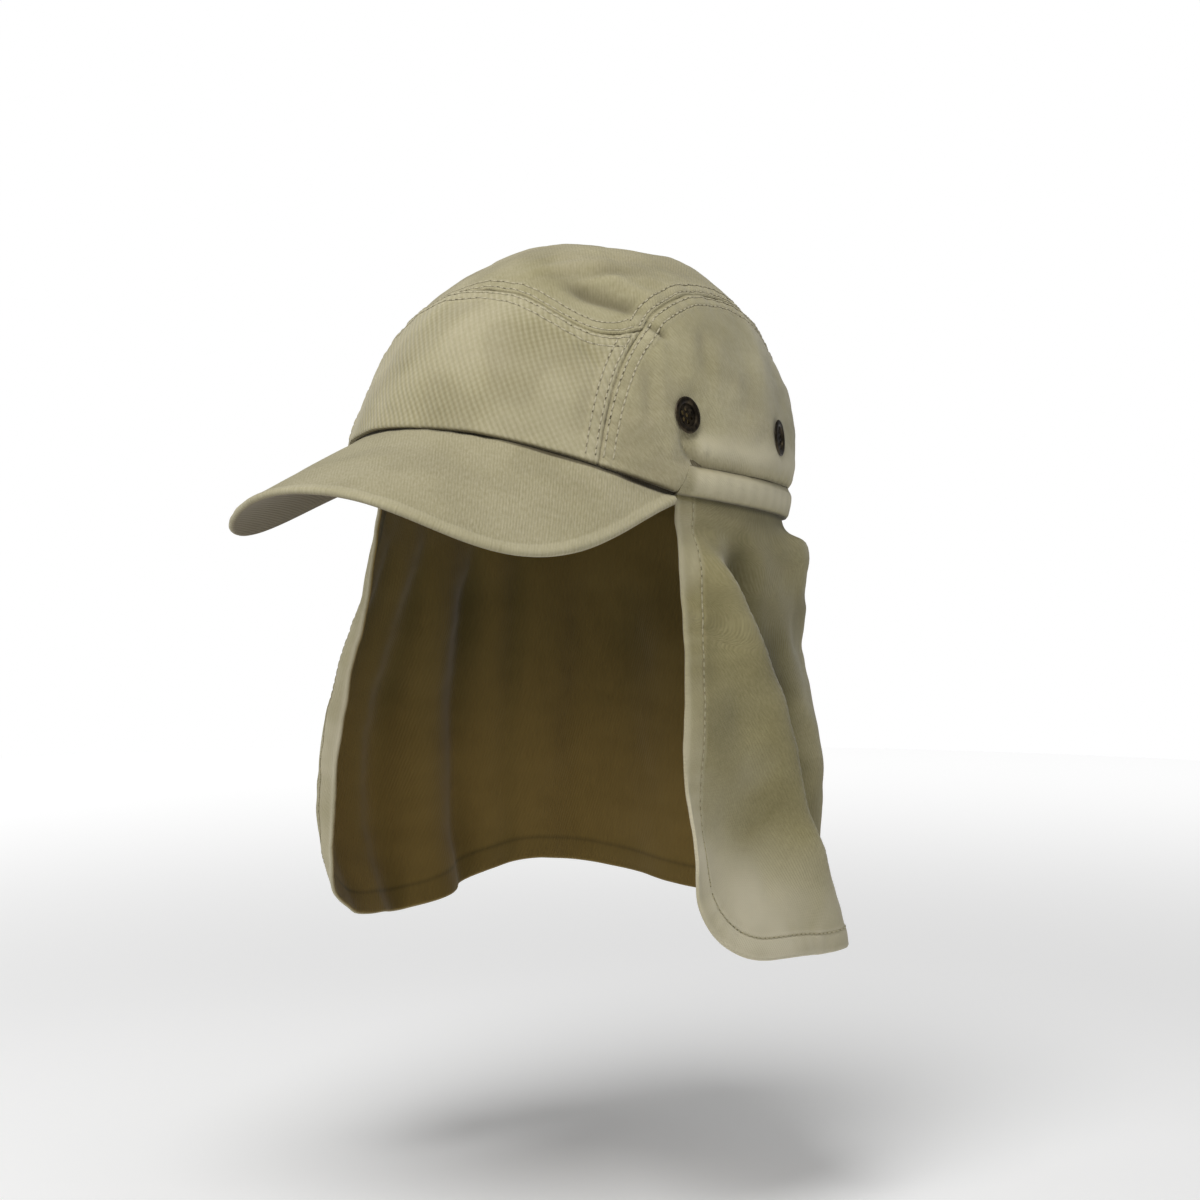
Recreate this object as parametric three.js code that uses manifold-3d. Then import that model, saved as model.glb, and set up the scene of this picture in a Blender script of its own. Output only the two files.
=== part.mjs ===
// Cotton sun cap with a neck flap, in its worn shape, in millimetres.
// +Z is up, the front looks along -Y and the wearer's left is at +X.
// The origin is the centre of the head opening, where the cap sits on a head.
// The crown sits tilted back, so it is built in a frame of its own that a group turns.
// The flap hangs straight down, so it is built in the level frame.

import * as THREE from 'three';
import { mergeVertices } from 'three/addons/utils/BufferGeometryUtils.js';
import Module from 'manifold-3d';

const wasm = await Module();
wasm.setup();

// Driving dimensions, lengths in millimetres and angles in degrees

const gap = 0.3; // between pieces that are sewn together
const tiltBack = 10; // the rim is lower at the back

// The crown is a rounded shell: an oval rim that closes in towards a flat top
const crown = {
  halfLength: 100,
  halfWidth: 83,
  height: 103,
  ovalPower: 2.115, // 2 is an ellipse, more is squarer
  risePower: 2.264,
  topSetBack: 9.7, // the top lies this far behind the rim's centre
  wall: 1.8,
};

// Angles round the crown start at the front centre and grow towards the wearer's left.
// Angles up the crown are 0 at the rim and 90 at the top.
const peak = {
  endAngle: 72.8, // where the peak's ends meet the rim
  arch: 15, // how far its seam rises above the rim at the front
  archPower: 1.12,
  reach: 127.6, // from the ends forward to the edge
  squareness: 2.36,
  sideBulge: 9,
  frontDrop: 15.2, // the edge below the rim plane at the front
  sideDrop: 56.2, // how much the edge curves down towards the sides
  thickness: 3,
  endTrim: 1.5,
};

// The casing's front ends slope up from the rim, and the side panels' lower edge with them
const band = {
  height: 12,
  rampStart: 71,
  rampEnd: 74,
  setBack: 0.3, // of the casing's slope behind the panel's, as an angle
  startAngle: 72.3,
  thickness: 2.2,
  swell: 1,
};

const corner = { round: 57, up: 35.3 }; // where front, top and side panels meet
const frontSeam = { rimAngle: 49, power: 3 };
const backSeamAngle = 158;

// Seam between the front panel and the top panel, from the middle to the corner
const frontTopSeam = [
  { round: 0, up: 44 },
  { round: 15, up: 42.3 },
  { round: 28, up: 38 },
  { round: 42, up: 33 },
  { round: 50, up: 33 },
  { round: corner.round, up: corner.up },
];

// Seam between the top panel and a side panel, from the corner to the back of the rim
const topSideSeam = [
  { step: 0, round: corner.round, up: corner.up },
  { step: 0.1, round: 62, up: 42 },
  { step: 0.25, round: 78, up: 50.5 },
  { step: 0.5, round: 106, up: 52 },
  { step: 0.75, round: 143, up: 36 },
  { step: 1, round: backSeamAngle, up: 7 },
];

// Swells and hollows of the cloth: place in the crown's frame, reach and rise
const relief = [
  { x: 38, y: -52, z: 78, reach: 15, rise: -3.2 },
  { x: -36, y: -52, z: 80, reach: 24, rise: -3 },
  { x: 0, y: -84, z: 48, reach: 26, rise: 1 },
  { x: 79, y: 8, z: 42, reach: 26, rise: 0.8 },
  { x: -79, y: 8, z: 42, reach: 26, rise: 0.8 },
];

const eyelet = {
  flangeRadius: 7.5,
  flangeThickness: 0.8,
  barrelRadius: 5.4,
  boreRadius: 4.7,
  backRadius: 6.8,
  standOff: 0.55, // the flange above the crown at its middle
  screenThickness: 0.5,
  screenHoleRadius: 0.95,
  screenHoleSides: 6,
  screenPitch: 2.7,
  sides: 16,
};

const eyelets = [
  { name: 'vent_eyelet_left_front', round: 71.5, up: 15.2 },
  { name: 'vent_eyelet_left_rear', round: 107.2, up: 14.5 },
  { name: 'vent_eyelet_right_front', round: -71.5, up: 15.2 },
  { name: 'vent_eyelet_right_rear', round: -107.2, up: 14.5 },
];

const flap = {
  startAngle: 73,
  thickness: 1.5,
  tuck: 6, // the stretch sewn in behind the band
  cornerRadius: 34,
  bowPower: 1.7,
  meanRadius: 95, // turns an angle into a distance along the hem
  crowding: 0.35, // how much closer the mesh's columns stand towards the front edges
};

// The flap at some angles round the rim: how far the hem stands out from the rim, how far
// the cloth bows out between band and hem, how far the hem is shifted backwards, hem height
const flapSections = [
  { round: 73, flare: 6, bow: 7, shift: 0, hem: -180 },
  { round: 95, flare: 13, bow: 2, shift: 1, hem: -184 },
  { round: 130, flare: 18, bow: 6, shift: 4, hem: -189 },
  { round: 180, flare: 20, bow: 2, shift: 0, hem: -183 },
  { round: 228, flare: 20, bow: 4, shift: -2, hem: -170 },
  { round: 240, flare: 21, bow: 7, shift: -3, hem: -174 },
  { round: 250, flare: 22, bow: 12, shift: -3, hem: -181 },
  { round: 264, flare: 24, bow: 21, shift: -3, hem: -187 },
  { round: 287, flare: 23, bow: 27, shift: -3, hem: -189 },
];

// Folds of the flap: angle at the band, angle at the hem, rise, half width as an angle, the
// part of the flap's height between which the fold shows, and how softly it starts and ends
const flapFolds = [
  { band: 77, hem: 122, rise: 7, width: 8, from: 0.02, to: 1.3, fade: 0.25 },
  { band: 90, hem: 138, rise: -7, width: 8, from: 0.08, to: 1.1, fade: 0.25 },
  { band: 90, hem: 100, rise: -5, width: 9, from: 0.02, to: 0.28, fade: 0.2 },
  { band: 120, hem: 168, rise: 9, width: 14, from: 0, to: 0.32, fade: 0.12 },
  { band: 120, hem: 128, rise: 4, width: 14, from: 0.75, to: 1.6, fade: 0.25 },
  { band: 168, hem: 160, rise: 6, width: 14, from: 0.05, to: 1.5, fade: 0.25 },
  { band: 190, hem: 196, rise: -6, width: 12, from: 0.1, to: 1.5, fade: 0.25 },
  { band: 212, hem: 222, rise: 5, width: 12, from: 0.1, to: 1.5, fade: 0.25 },
  { band: 252, hem: 246, rise: 5, width: 8, from: 0.05, to: 1.5, fade: 0.25 },
  { band: 262, hem: 257, rise: -5, width: 7, from: 0.1, to: 1.5, fade: 0.25 },
  { band: 270, hem: 266, rise: 4, width: 7, from: 0.1, to: 1.5, fade: 0.25 },
];

// The flap's front edges turn in towards the neck
const edgeCurl = {
  left: { depth: 0, reach: 14 },
  right: { depth: 13, reach: 13 },
  power: 1.6,
  heightPower: 2,
};

// Steps along and up each sheet: panels that share a seam have as many steps along it
const seamSteps = { frontTop: 18, frontSide: 11, topSide: 22 };
const grids = {
  front: [seamSteps.frontTop, seamSteps.frontSide],
  top: [seamSteps.frontTop, seamSteps.topSide],
  side: [seamSteps.topSide, seamSteps.frontSide],
  band: [40, 2],
  peak: [26, 7],
  flap: [42, 15],
};

// Colours and finishes

const colours = {
  twill: new THREE.MeshStandardMaterial({ color: 0xaea47e, roughness: 0.9, metalness: 0 }),
  peakTwill: new THREE.MeshStandardMaterial({ color: 0xa49b79, roughness: 0.9, metalness: 0 }),
  flapTwill: new THREE.MeshStandardMaterial({ color: 0x9b9474, roughness: 0.9, metalness: 0 }),
  metal: new THREE.MeshStandardMaterial({ color: 0x37301f, roughness: 0.45, metalness: 0.9 }),
};

// Small helpers

const rad = THREE.MathUtils.degToRad;
const ease = (t) => THREE.MathUtils.smoothstep(t, 0, 1);
const signedPower = (value, power) => Math.sign(value) * Math.abs(value) ** power;

// Value of a column of a table at a place, on a smooth curve through its rows
function along(rows, key, column, place) {
  const last = rows.length - 1;
  const at = THREE.MathUtils.clamp(place, rows[0][key], rows[last][key]);
  let i = 0;
  while (i < last - 1 && rows[i + 1][key] < at) i += 1;
  const slope = (k) => {
    const a = rows[Math.max(k - 1, 0)];
    const b = rows[Math.min(k + 1, last)];
    return (b[column] - a[column]) / (b[key] - a[key]);
  };
  const span = rows[i + 1][key] - rows[i][key];
  const t = (at - rows[i][key]) / span;
  const t2 = t * t;
  const t3 = t2 * t;
  return (2 * t3 - 3 * t2 + 1) * rows[i][column] + (t3 - 2 * t2 + t) * span * slope(i)
    + (3 * t2 - 2 * t3) * rows[i + 1][column] + (t3 - t2) * span * slope(i + 1);
}

// Angle after a share of all the steps, where each stretch has its own number of steps
function stepped(share, total, stretches, first) {
  let done = share * total;
  let from = first;
  for (const { steps, angle } of stretches) {
    if (done <= steps) return THREE.MathUtils.lerp(from, angle, done / steps);
    done -= steps;
    from = angle;
  }
  return from;
}

// The crown's surface

function rimPlan(round) {
  const a = rad(round);
  return {
    x: crown.halfWidth * signedPower(Math.sin(a), 2 / crown.ovalPower),
    y: -crown.halfLength * signedPower(Math.cos(a), 2 / crown.ovalPower),
  };
}

// Point of the bare shell at an angle round and an angle up
function shellPoint(round, up) {
  const plan = rimPlan(round);
  const close = Math.cos(rad(up)) ** (2 / crown.risePower);
  const rise = Math.sin(rad(up)) ** (2 / crown.risePower);
  return new THREE.Vector3(plan.x * close, plan.y * close + crown.topSetBack * rise, crown.height * rise);
}

// Point of the bare shell at an angle round and a height above the rim plane
function shellAtHeight(round, height) {
  const rise = Math.max(height, 0) / crown.height;
  const up = THREE.MathUtils.radToDeg(Math.asin(rise ** (crown.risePower / 2)));
  const point = shellPoint(round, up);
  point.z = height;
  return point;
}

// Below 1 inside the shell, 1 on it and above 1 outside
function shellLevel(p) {
  const rise = Math.max(p.z, 0) / crown.height;
  const oval = Math.abs(p.x / crown.halfWidth) ** crown.ovalPower
    + Math.abs((p.y - crown.topSetBack * rise) / crown.halfLength) ** crown.ovalPower;
  return oval ** (crown.risePower / crown.ovalPower) + rise ** crown.risePower;
}

function shellNormal(p) {
  const step = 0.05; // small enough for a smooth slope
  const change = (axis) => {
    const ahead = p.clone();
    const behind = p.clone();
    ahead[axis] += step;
    behind[axis] -= step;
    return shellLevel(ahead) - shellLevel(behind);
  };
  return new THREE.Vector3(change('x'), change('y'), change('z')).normalize();
}

// Pushes a point out from the crown's heart onto the bare shell
const heart = new THREE.Vector3(0, 5, 10);
function ontoShell(p) {
  const way = p.clone().sub(heart);
  let low = 0.2;
  let high = 3;
  for (let halving = 0; halving < 40; halving += 1) {
    const middle = (low + high) / 2;
    const level = shellLevel(heart.clone().addScaledVector(way, middle));
    if (level < 1) low = middle;
    else high = middle;
  }
  return heart.clone().addScaledVector(way, low);
}

// The crown's own surface: the bare shell with its swells and hollows
function dressed(p, depth = 0) {
  const rise = relief.reduce((sum, r) => {
    const away = Math.hypot(p.x - r.x, p.y - r.y, p.z - r.z) / r.reach;
    return sum + r.rise * Math.exp(-away * away);
  }, 0);
  return p.clone().addScaledVector(shellNormal(p), rise - depth);
}

// Seams and edges of the crown

function peakSeamHeight(round) {
  const way = Math.abs(round) / peak.endAngle;
  return way < 1 ? peak.arch * Math.cos(way * Math.PI / 2) ** peak.archPower : 0;
}

function bandTop(round) {
  return band.height * THREE.MathUtils.clamp(
    (Math.abs(round) - band.rampStart) / (band.rampEnd - band.rampStart), 0, 1);
}

function lowerEdge(round) {
  return shellAtHeight(round, Math.max(peakSeamHeight(round), bandTop(round)) + gap);
}

function frontSideSeam(step) {
  const round = frontSeam.rimAngle + (corner.round - frontSeam.rimAngle) * step ** frontSeam.power;
  const foot = lowerEdge(frontSeam.rimAngle);
  const up = THREE.MathUtils.radToDeg(Math.asin((foot.z / crown.height) ** (crown.risePower / 2)));
  return shellPoint(round, THREE.MathUtils.lerp(up, corner.up, step));
}

function frontTop(side) {
  const round = side * corner.round;
  return shellPoint(round, along(frontTopSeam, 'round', 'up', Math.abs(round)));
}

function topSide(step) {
  const round = along(topSideSeam, 'step', 'round', step);
  const point = shellPoint(round, along(topSideSeam, 'step', 'up', step));
  const foot = lowerEdge(backSeamAngle);
  return point.lerp(foot, ease((step - 0.85) / 0.15));
}

const mirrored = (p) => new THREE.Vector3(-p.x, p.y, p.z);

// Closed solids from grids of points

// Joins an outer and an inner grid of points, with a rim round their edges
function closedSheet(outer, inner) {
  const columns = outer.length;
  const rows = outer[0].length;
  const positions = [];
  const indices = [];
  for (const grid of [outer, inner]) {
    for (const line of grid) for (const p of line) positions.push(p.x, p.y, p.z);
  }
  const at = (layer, i, j) => layer * columns * rows + i * rows + j;
  const quad = (a, b, c, d) => indices.push(a, b, c, a, c, d);
  for (let i = 0; i < columns - 1; i += 1) {
    for (let j = 0; j < rows - 1; j += 1) {
      quad(at(0, i, j), at(0, i + 1, j), at(0, i + 1, j + 1), at(0, i, j + 1));
      quad(at(1, i, j), at(1, i, j + 1), at(1, i + 1, j + 1), at(1, i + 1, j));
    }
    quad(at(0, i, 0), at(1, i, 0), at(1, i + 1, 0), at(0, i + 1, 0));
    quad(at(0, i + 1, rows - 1), at(1, i + 1, rows - 1), at(1, i, rows - 1), at(0, i, rows - 1));
  }
  for (let j = 0; j < rows - 1; j += 1) {
    quad(at(0, 0, j + 1), at(1, 0, j + 1), at(1, 0, j), at(0, 0, j));
    quad(at(0, columns - 1, j), at(1, columns - 1, j), at(1, columns - 1, j + 1), at(0, columns - 1, j + 1));
  }
  return facingOut(positions, indices);
}

function facingOut(positions, indices) {
  const corner3 = (k) => new THREE.Vector3().fromArray(positions, 3 * indices[k]);
  let volume = 0;
  for (let k = 0; k < indices.length; k += 3) {
    volume += corner3(k).dot(corner3(k + 1).cross(corner3(k + 2)));
  }
  if (volume < 0) {
    for (let k = 0; k < indices.length; k += 3) {
      [indices[k], indices[k + 1]] = [indices[k + 1], indices[k]];
    }
  }
  const geometry = new THREE.BufferGeometry();
  geometry.setAttribute('position', new THREE.Float32BufferAttribute(positions, 3));
  geometry.setIndex(indices);
  geometry.computeVertexNormals();
  return geometry;
}

// Draws the border of a grid back by half a gap, so that neighbours stay clear
function trimmed(grid, cut = gap / 2) {
  const columns = grid.length;
  const rows = grid[0].length;
  const pull = (p, towards) => p.addScaledVector(towards.clone().sub(p).normalize(), cut);
  for (let i = 0; i < columns; i += 1) {
    pull(grid[i][0], grid[i][1]);
    pull(grid[i][rows - 1], grid[i][rows - 2]);
  }
  for (let j = 0; j < rows; j += 1) {
    pull(grid[0][j], grid[1][j]);
    pull(grid[columns - 1][j], grid[columns - 2][j]);
  }
  return grid;
}

// A cloth panel of the crown: four seams filled in and pushed out onto the shell
function panel({ low, high, start, end }, [columns, rows]) {
  const outer = [];
  const inner = [];
  for (let i = 0; i <= columns; i += 1) {
    outer.push([]);
    for (let j = 0; j <= rows; j += 1) {
      const u = i / columns;
      const v = j / rows;
      const p = new THREE.Vector3()
        .addScaledVector(low(u), 1 - v).addScaledVector(high(u), v)
        .addScaledVector(start(v), 1 - u).addScaledVector(end(v), u)
        .addScaledVector(low(0), -(1 - u) * (1 - v)).addScaledVector(low(1), -u * (1 - v))
        .addScaledVector(high(0), -(1 - u) * v).addScaledVector(high(1), -u * v);
      outer[i].push(ontoShell(p));
    }
  }
  trimmed(outer);
  for (const line of outer) inner.push(line.map((p) => dressed(p, crown.wall)));
  return closedSheet(outer.map((line) => line.map((p) => dressed(p))), inner);
}

// Manifold joins and cuts

function toSolid(geometry) {
  const bare = geometry.clone();
  bare.deleteAttribute('normal');
  bare.deleteAttribute('uv');
  const merged = mergeVertices(bare, 1e-4);
  return new wasm.Manifold(new wasm.Mesh({
    numProp: 3,
    vertProperties: merged.attributes.position.array,
    triVerts: new Uint32Array(merged.index.array),
  }));
}

function toGeometry(solid) {
  const mesh = solid.getMesh();
  const geometry = new THREE.BufferGeometry();
  geometry.setAttribute('position', new THREE.Float32BufferAttribute(mesh.vertProperties, 3));
  geometry.setIndex([...mesh.triVerts]);
  geometry.computeVertexNormals();
  return geometry;
}

// A cylinder that stands along Z
function rod(radius, length, sides) {
  return new THREE.CylinderGeometry(radius, radius, length, sides).rotateX(Math.PI / 2);
}

function named(name, geometry, material) {
  const mesh = new THREE.Mesh(geometry, material);
  mesh.name = name;
  return mesh;
}

// Crown panels

function frontPanel() {
  const side = (u) => 2 * u - 1;
  const geometry = panel({
    low: (u) => lowerEdge(side(u) * frontSeam.rimAngle),
    high: (u) => frontTop(side(u)),
    start: (v) => mirrored(frontSideSeam(v)),
    end: (v) => frontSideSeam(v),
  }, grids.front);
  return named('front_panel', geometry, colours.twill);
}

function topPanel() {
  const side = (u) => 2 * u - 1;
  const geometry = panel({
    low: (u) => frontTop(side(u)),
    high: (u) => lowerEdge(180 + side(u) * (backSeamAngle - 180)),
    start: (v) => mirrored(topSide(v)),
    end: (v) => topSide(v),
  }, grids.top);
  return named('top_panel', geometry, colours.twill);
}

// Where an eyelet sits: its place on the crown and the way it faces
function eyeletSeat({ round, up }) {
  const bare = shellPoint(round, up);
  return { place: dressed(bare), facing: shellNormal(bare) };
}

function setOnSeat(mesh, seat) {
  mesh.position.copy(seat.place);
  mesh.quaternion.setFromUnitVectors(new THREE.Vector3(0, 0, 1), seat.facing);
  return mesh;
}

// The left panel is drawn from its seams and the right one is its mirror image
function sidePanel(name, hand) {
  const place = hand > 0 ? (p) => p : mirrored;
  const rimAngle = (u) => stepped(u, grids.side[0], [
    { steps: 5, angle: band.rampStart },
    { steps: 1, angle: band.rampEnd },
    { steps: grids.side[0] - 6, angle: backSeamAngle },
  ], frontSeam.rimAngle);
  let solid = toSolid(panel({
    low: (u) => place(lowerEdge(rimAngle(u))),
    high: (u) => place(topSide(u)),
    start: (v) => place(frontSideSeam(v)),
    end: () => place(lowerEdge(backSeamAngle)),
  }, grids.side));
  for (const row of eyelets.filter((e) => Math.sign(e.round) === hand)) {
    const radius = eyelet.barrelRadius + gap;
    const tool = rod(radius, 6 * crown.wall, eyelet.sides);
    const cutter = setOnSeat(new THREE.Mesh(tool), eyeletSeat(row));
    cutter.updateMatrix();
    solid = solid.subtract(toSolid(tool.clone().applyMatrix4(cutter.matrix)));
  }
  return named(name, toGeometry(solid), colours.twill);
}

// Elastic casing round the back, with a slightly swollen outer face
function backBand() {
  const [columns, rows] = grids.band;
  const outer = [];
  const inner = [];
  const rampTop = band.rampEnd + band.setBack;
  for (let i = 0; i <= columns; i += 1) {
    const round = stepped(i / columns, columns, [
      { steps: 1, angle: rampTop },
      { steps: columns - 2, angle: 360 - rampTop },
      { steps: 1, angle: 360 - band.startAngle },
    ], band.startAngle);
    const top = bandTop(Math.min(round, 360 - round) - band.setBack);
    outer.push([]);
    inner.push([]);
    for (let j = 0; j <= rows; j += 1) {
      const v = j / rows;
      const p = shellAtHeight(round, top * v);
      const normal = shellNormal(p);
      outer[i].push(p.clone().addScaledVector(normal, band.swell * Math.sin(Math.PI * v)));
      inner[i].push(p.clone().addScaledVector(normal, -band.thickness));
    }
  }
  return named('back_band', closedSheet(outer, inner), colours.twill);
}

// Peak

function peakEdge(turn) {
  const end = rimPlan(peak.endAngle);
  const s = Math.sin(rad(turn));
  const c = Math.cos(rad(turn));
  return new THREE.Vector3(
    end.x * signedPower(s, 2 / peak.squareness) + peak.sideBulge * Math.sin(rad(2 * turn)),
    end.y - peak.reach * c ** (2 / peak.squareness),
    -c * (peak.frontDrop + peak.sideDrop * s * s),
  );
}

function peakRoot(turn) {
  const round = turn / 90 * peak.endAngle;
  const p = shellAtHeight(round, peakSeamHeight(round));
  return p.addScaledVector(shellNormal(p).setZ(0).normalize(), -crown.wall);
}

function peakSheet() {
  const [columns, rows] = grids.peak;
  const reach = 90 - peak.endTrim;
  const top = (turn, v) => peakRoot(turn).lerp(peakEdge(turn), v);
  const outer = [];
  const inner = [];
  for (let i = 0; i <= columns; i += 1) {
    const turn = THREE.MathUtils.lerp(-reach, reach, i / columns);
    outer.push([]);
    inner.push([]);
    for (let j = 0; j <= rows; j += 1) {
      const v = j / rows;
      const across = top(turn + 0.1, v).sub(top(turn - 0.1, v));
      const outward = peakEdge(turn).sub(peakRoot(turn));
      const down = across.cross(outward).normalize();
      outer[i].push(top(turn, v));
      inner[i].push(top(turn, v).addScaledVector(down, -Math.sign(down.z) * peak.thickness));
    }
  }
  return named('peak', closedSheet(outer, inner), colours.peakTwill);
}

// Neck flap, in the level frame

const level = new THREE.Matrix4().makeRotationX(-rad(tiltBack));

function outward(round) {
  const ahead = rimPlan(round + 0.5);
  const behind = rimPlan(round - 0.5);
  return new THREE.Vector3(ahead.y - behind.y, behind.x - ahead.x, 0).normalize();
}

function foldRise(round, drop) {
  return flapFolds.reduce((sum, f) => {
    const away = (round - THREE.MathUtils.lerp(f.band, f.hem, drop)) / f.width;
    const shown = ease((drop - f.from) / f.fade) * ease((f.to - drop) / f.fade);
    return sum + f.rise * Math.exp(-away * away) * shown;
  }, 0);
}

// Point of the flap's outer face: v is 0 at the band's lower edge and 1 at the hem
function flapPoint(round, v) {
  const out = outward(round);
  const back = new THREE.Vector3(-out.y, out.x, 0);
  const plan = rimPlan(round);
  const inset = band.thickness + gap;
  const tuckHeight = v < 0 ? flap.tuck * -v : 0;
  const top = new THREE.Vector3(plan.x, plan.y, tuckHeight).addScaledVector(out, -inset).applyMatrix4(level);
  if (v <= 0) return top;
  const column = (name) => along(flapSections, 'round', name, round);
  const fullHem = column('hem');
  const fromFront = Math.max(Math.min(round - flap.startAngle, 360 - flap.startAngle - round), 0);
  const inwards = Math.min(rad(fromFront) * flap.meanRadius, flap.cornerRadius);
  const radius = flap.cornerRadius;
  const cornerRise = radius - Math.sqrt(radius ** 2 - (radius - inwards) ** 2);
  const z = THREE.MathUtils.lerp(top.z, fullHem + cornerRise, v);
  const drop = (top.z - z) / (top.z - fullHem);
  const curl = round < 180 ? edgeCurl.left : edgeCurl.right;
  const turnIn = Math.max(1 - rad(fromFront) * flap.meanRadius / curl.reach, 0) ** edgeCurl.power;
  const rise = column('flare') * drop
    + column('bow') * Math.sin(Math.PI * drop ** flap.bowPower)
    + foldRise(round, drop)
    - curl.depth * turnIn * Math.sin(Math.PI * drop ** edgeCurl.heightPower);
  return top.setZ(z).addScaledVector(out, rise).addScaledVector(back, column('shift') * drop);
}

function neckFlap() {
  const [columns, rows] = grids.flap;
  const outer = [];
  const inner = [];
  for (let i = 0; i <= columns; i += 1) {
    const t = i / columns;
    const spread = t - flap.crowding * Math.sin(2 * Math.PI * t) / (2 * Math.PI);
    const round = THREE.MathUtils.lerp(flap.startAngle, 360 - flap.startAngle, spread);
    outer.push([]);
    inner.push([]);
    for (let j = -1; j <= rows; j += 1) {
      const v = j / rows;
      const height = j < 0 ? -1 : v;
      const p = flapPoint(round, height);
      const across = flapPoint(round + 0.2, height).sub(flapPoint(round - 0.2, height));
      const down = flapPoint(round, Math.max(v, 0) + 0.005).sub(flapPoint(round, Math.max(v, 0)));
      const normal = j <= 0 ? outward(round) : down.cross(across).normalize();
      if (normal.dot(outward(round)) < 0) normal.negate();
      outer[i].push(p);
      inner[i].push(p.clone().addScaledVector(normal, -flap.thickness));
    }
  }
  return named('neck_flap', closedSheet(outer, inner), colours.flapTwill);
}

// Vent eyelets: a turned metal ring with a pierced screen across its bore

function eyeletGeometry() {
  const e = eyelet;
  const backFace = -(crown.wall + 2 * e.standOff);
  const profile = [
    [e.boreRadius, e.standOff + e.flangeThickness * 0.6],
    [e.boreRadius, backFace - e.flangeThickness],
    [e.backRadius, backFace - e.flangeThickness],
    [e.backRadius, backFace],
    [e.barrelRadius, backFace],
    [e.barrelRadius, e.standOff],
    [e.flangeRadius, e.standOff],
    [(e.flangeRadius + e.boreRadius) / 2, e.standOff + e.flangeThickness],
    [e.boreRadius, e.standOff + e.flangeThickness * 0.6],
  ].map(([r, z]) => new THREE.Vector2(r, z));
  const ring = new THREE.LatheGeometry(profile, e.sides).rotateX(Math.PI / 2);
  const overlap = 0.2;
  const disc = rod(e.boreRadius + overlap, e.screenThickness, e.sides);
  let solid = facingSolid(ring).add(toSolid(disc));
  const ringOfHoles = [0, 60, 120, 180, 240, 300].map((a) => [
    e.screenPitch * Math.cos(rad(a)), e.screenPitch * Math.sin(rad(a)),
  ]);
  const holes = [[0, 0], ...ringOfHoles];
  for (const [x, y] of holes) {
    const length = 4 * e.screenThickness;
    const pin = rod(e.screenHoleRadius, length, e.screenHoleSides).translate(x, y, 0);
    solid = solid.subtract(toSolid(pin));
  }
  return toGeometry(solid);
}

// A lathe ring may come out facing in, which its index order puts right
function facingSolid(geometry) {
  const bare = geometry.clone();
  bare.deleteAttribute('normal');
  bare.deleteAttribute('uv');
  const merged = mergeVertices(bare, 1e-4);
  return toSolid(facingOut([...merged.attributes.position.array], [...merged.index.array]));
}

// Assembly

const cap = new THREE.Group();
const tilted = new THREE.Group();
tilted.rotation.x = -rad(tiltBack);
cap.add(tilted);

tilted.add(frontPanel(), topPanel());
tilted.add(sidePanel('side_panel_left', 1), sidePanel('side_panel_right', -1));
tilted.add(backBand(), peakSheet());
for (const row of eyelets) {
  tilted.add(setOnSeat(named(row.name, eyeletGeometry(), colours.metal), eyeletSeat(row)));
}
cap.add(neckFlap());

export default cap;
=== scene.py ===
# Washed cotton sun cap with a neck flap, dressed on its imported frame.
# Shapes are worked out in millimetres and turned to metres when a mesh is made.
# +Z is up, the front looks along -Y and the wearer's left is at +X.

import math
import bmesh
import bpy
import numpy as np
from mathutils import Matrix, Vector


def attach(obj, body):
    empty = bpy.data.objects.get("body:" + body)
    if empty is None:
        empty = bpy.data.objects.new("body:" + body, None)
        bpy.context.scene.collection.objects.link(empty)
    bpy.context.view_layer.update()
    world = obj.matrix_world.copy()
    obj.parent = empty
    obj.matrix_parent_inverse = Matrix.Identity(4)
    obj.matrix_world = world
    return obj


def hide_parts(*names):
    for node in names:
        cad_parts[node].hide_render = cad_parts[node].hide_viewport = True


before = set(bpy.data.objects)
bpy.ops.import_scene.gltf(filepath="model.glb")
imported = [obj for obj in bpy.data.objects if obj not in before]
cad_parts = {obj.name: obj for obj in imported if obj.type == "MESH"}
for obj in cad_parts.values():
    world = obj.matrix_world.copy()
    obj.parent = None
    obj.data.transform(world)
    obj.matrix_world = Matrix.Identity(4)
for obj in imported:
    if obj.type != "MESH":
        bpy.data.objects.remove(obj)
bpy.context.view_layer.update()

print("frame loaded:", len(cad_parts), "nodes")

# View, floor and light

view = {
    "azimuth": 37.1,
    "elevation": 6.11,
    "distance": 1600,  # from the middle of the cap's opening, in millimetres
    "across": 12.66,
    "down": 43.71,
    "lens": 116.5,
}
studio = {
    "floorHeight": -0.3,
    "floorSize": 1.35,
    "floorColour": "#fbfbfb",
    "backdrop": 1.0,
    "ambient": 0.2,
    "floorGlow": (0.04, 0.5),  # under the cap and at the far edge
    "glowFrom": 0.45,  # the floor shines more and more from this radius outwards
    "lampDistance": 2.2,
    "lampSize": 1.2,
    "lampAim": (0, 0, -0.03),
    # name, azimuth, elevation and power of each soft box
    "lamps": [
        ("overheadSoftBox", 20, 58, 38),
        ("leftSoftBox", -68, 15, 11.5),
        ("rightFill", 80, 66, 5),
    ],
}


def wayTo(azimuth, elevation):
    a, e = math.radians(azimuth), math.radians(elevation)
    return Vector((math.sin(a) * math.cos(e), -math.cos(a) * math.cos(e), math.sin(e)))


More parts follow.
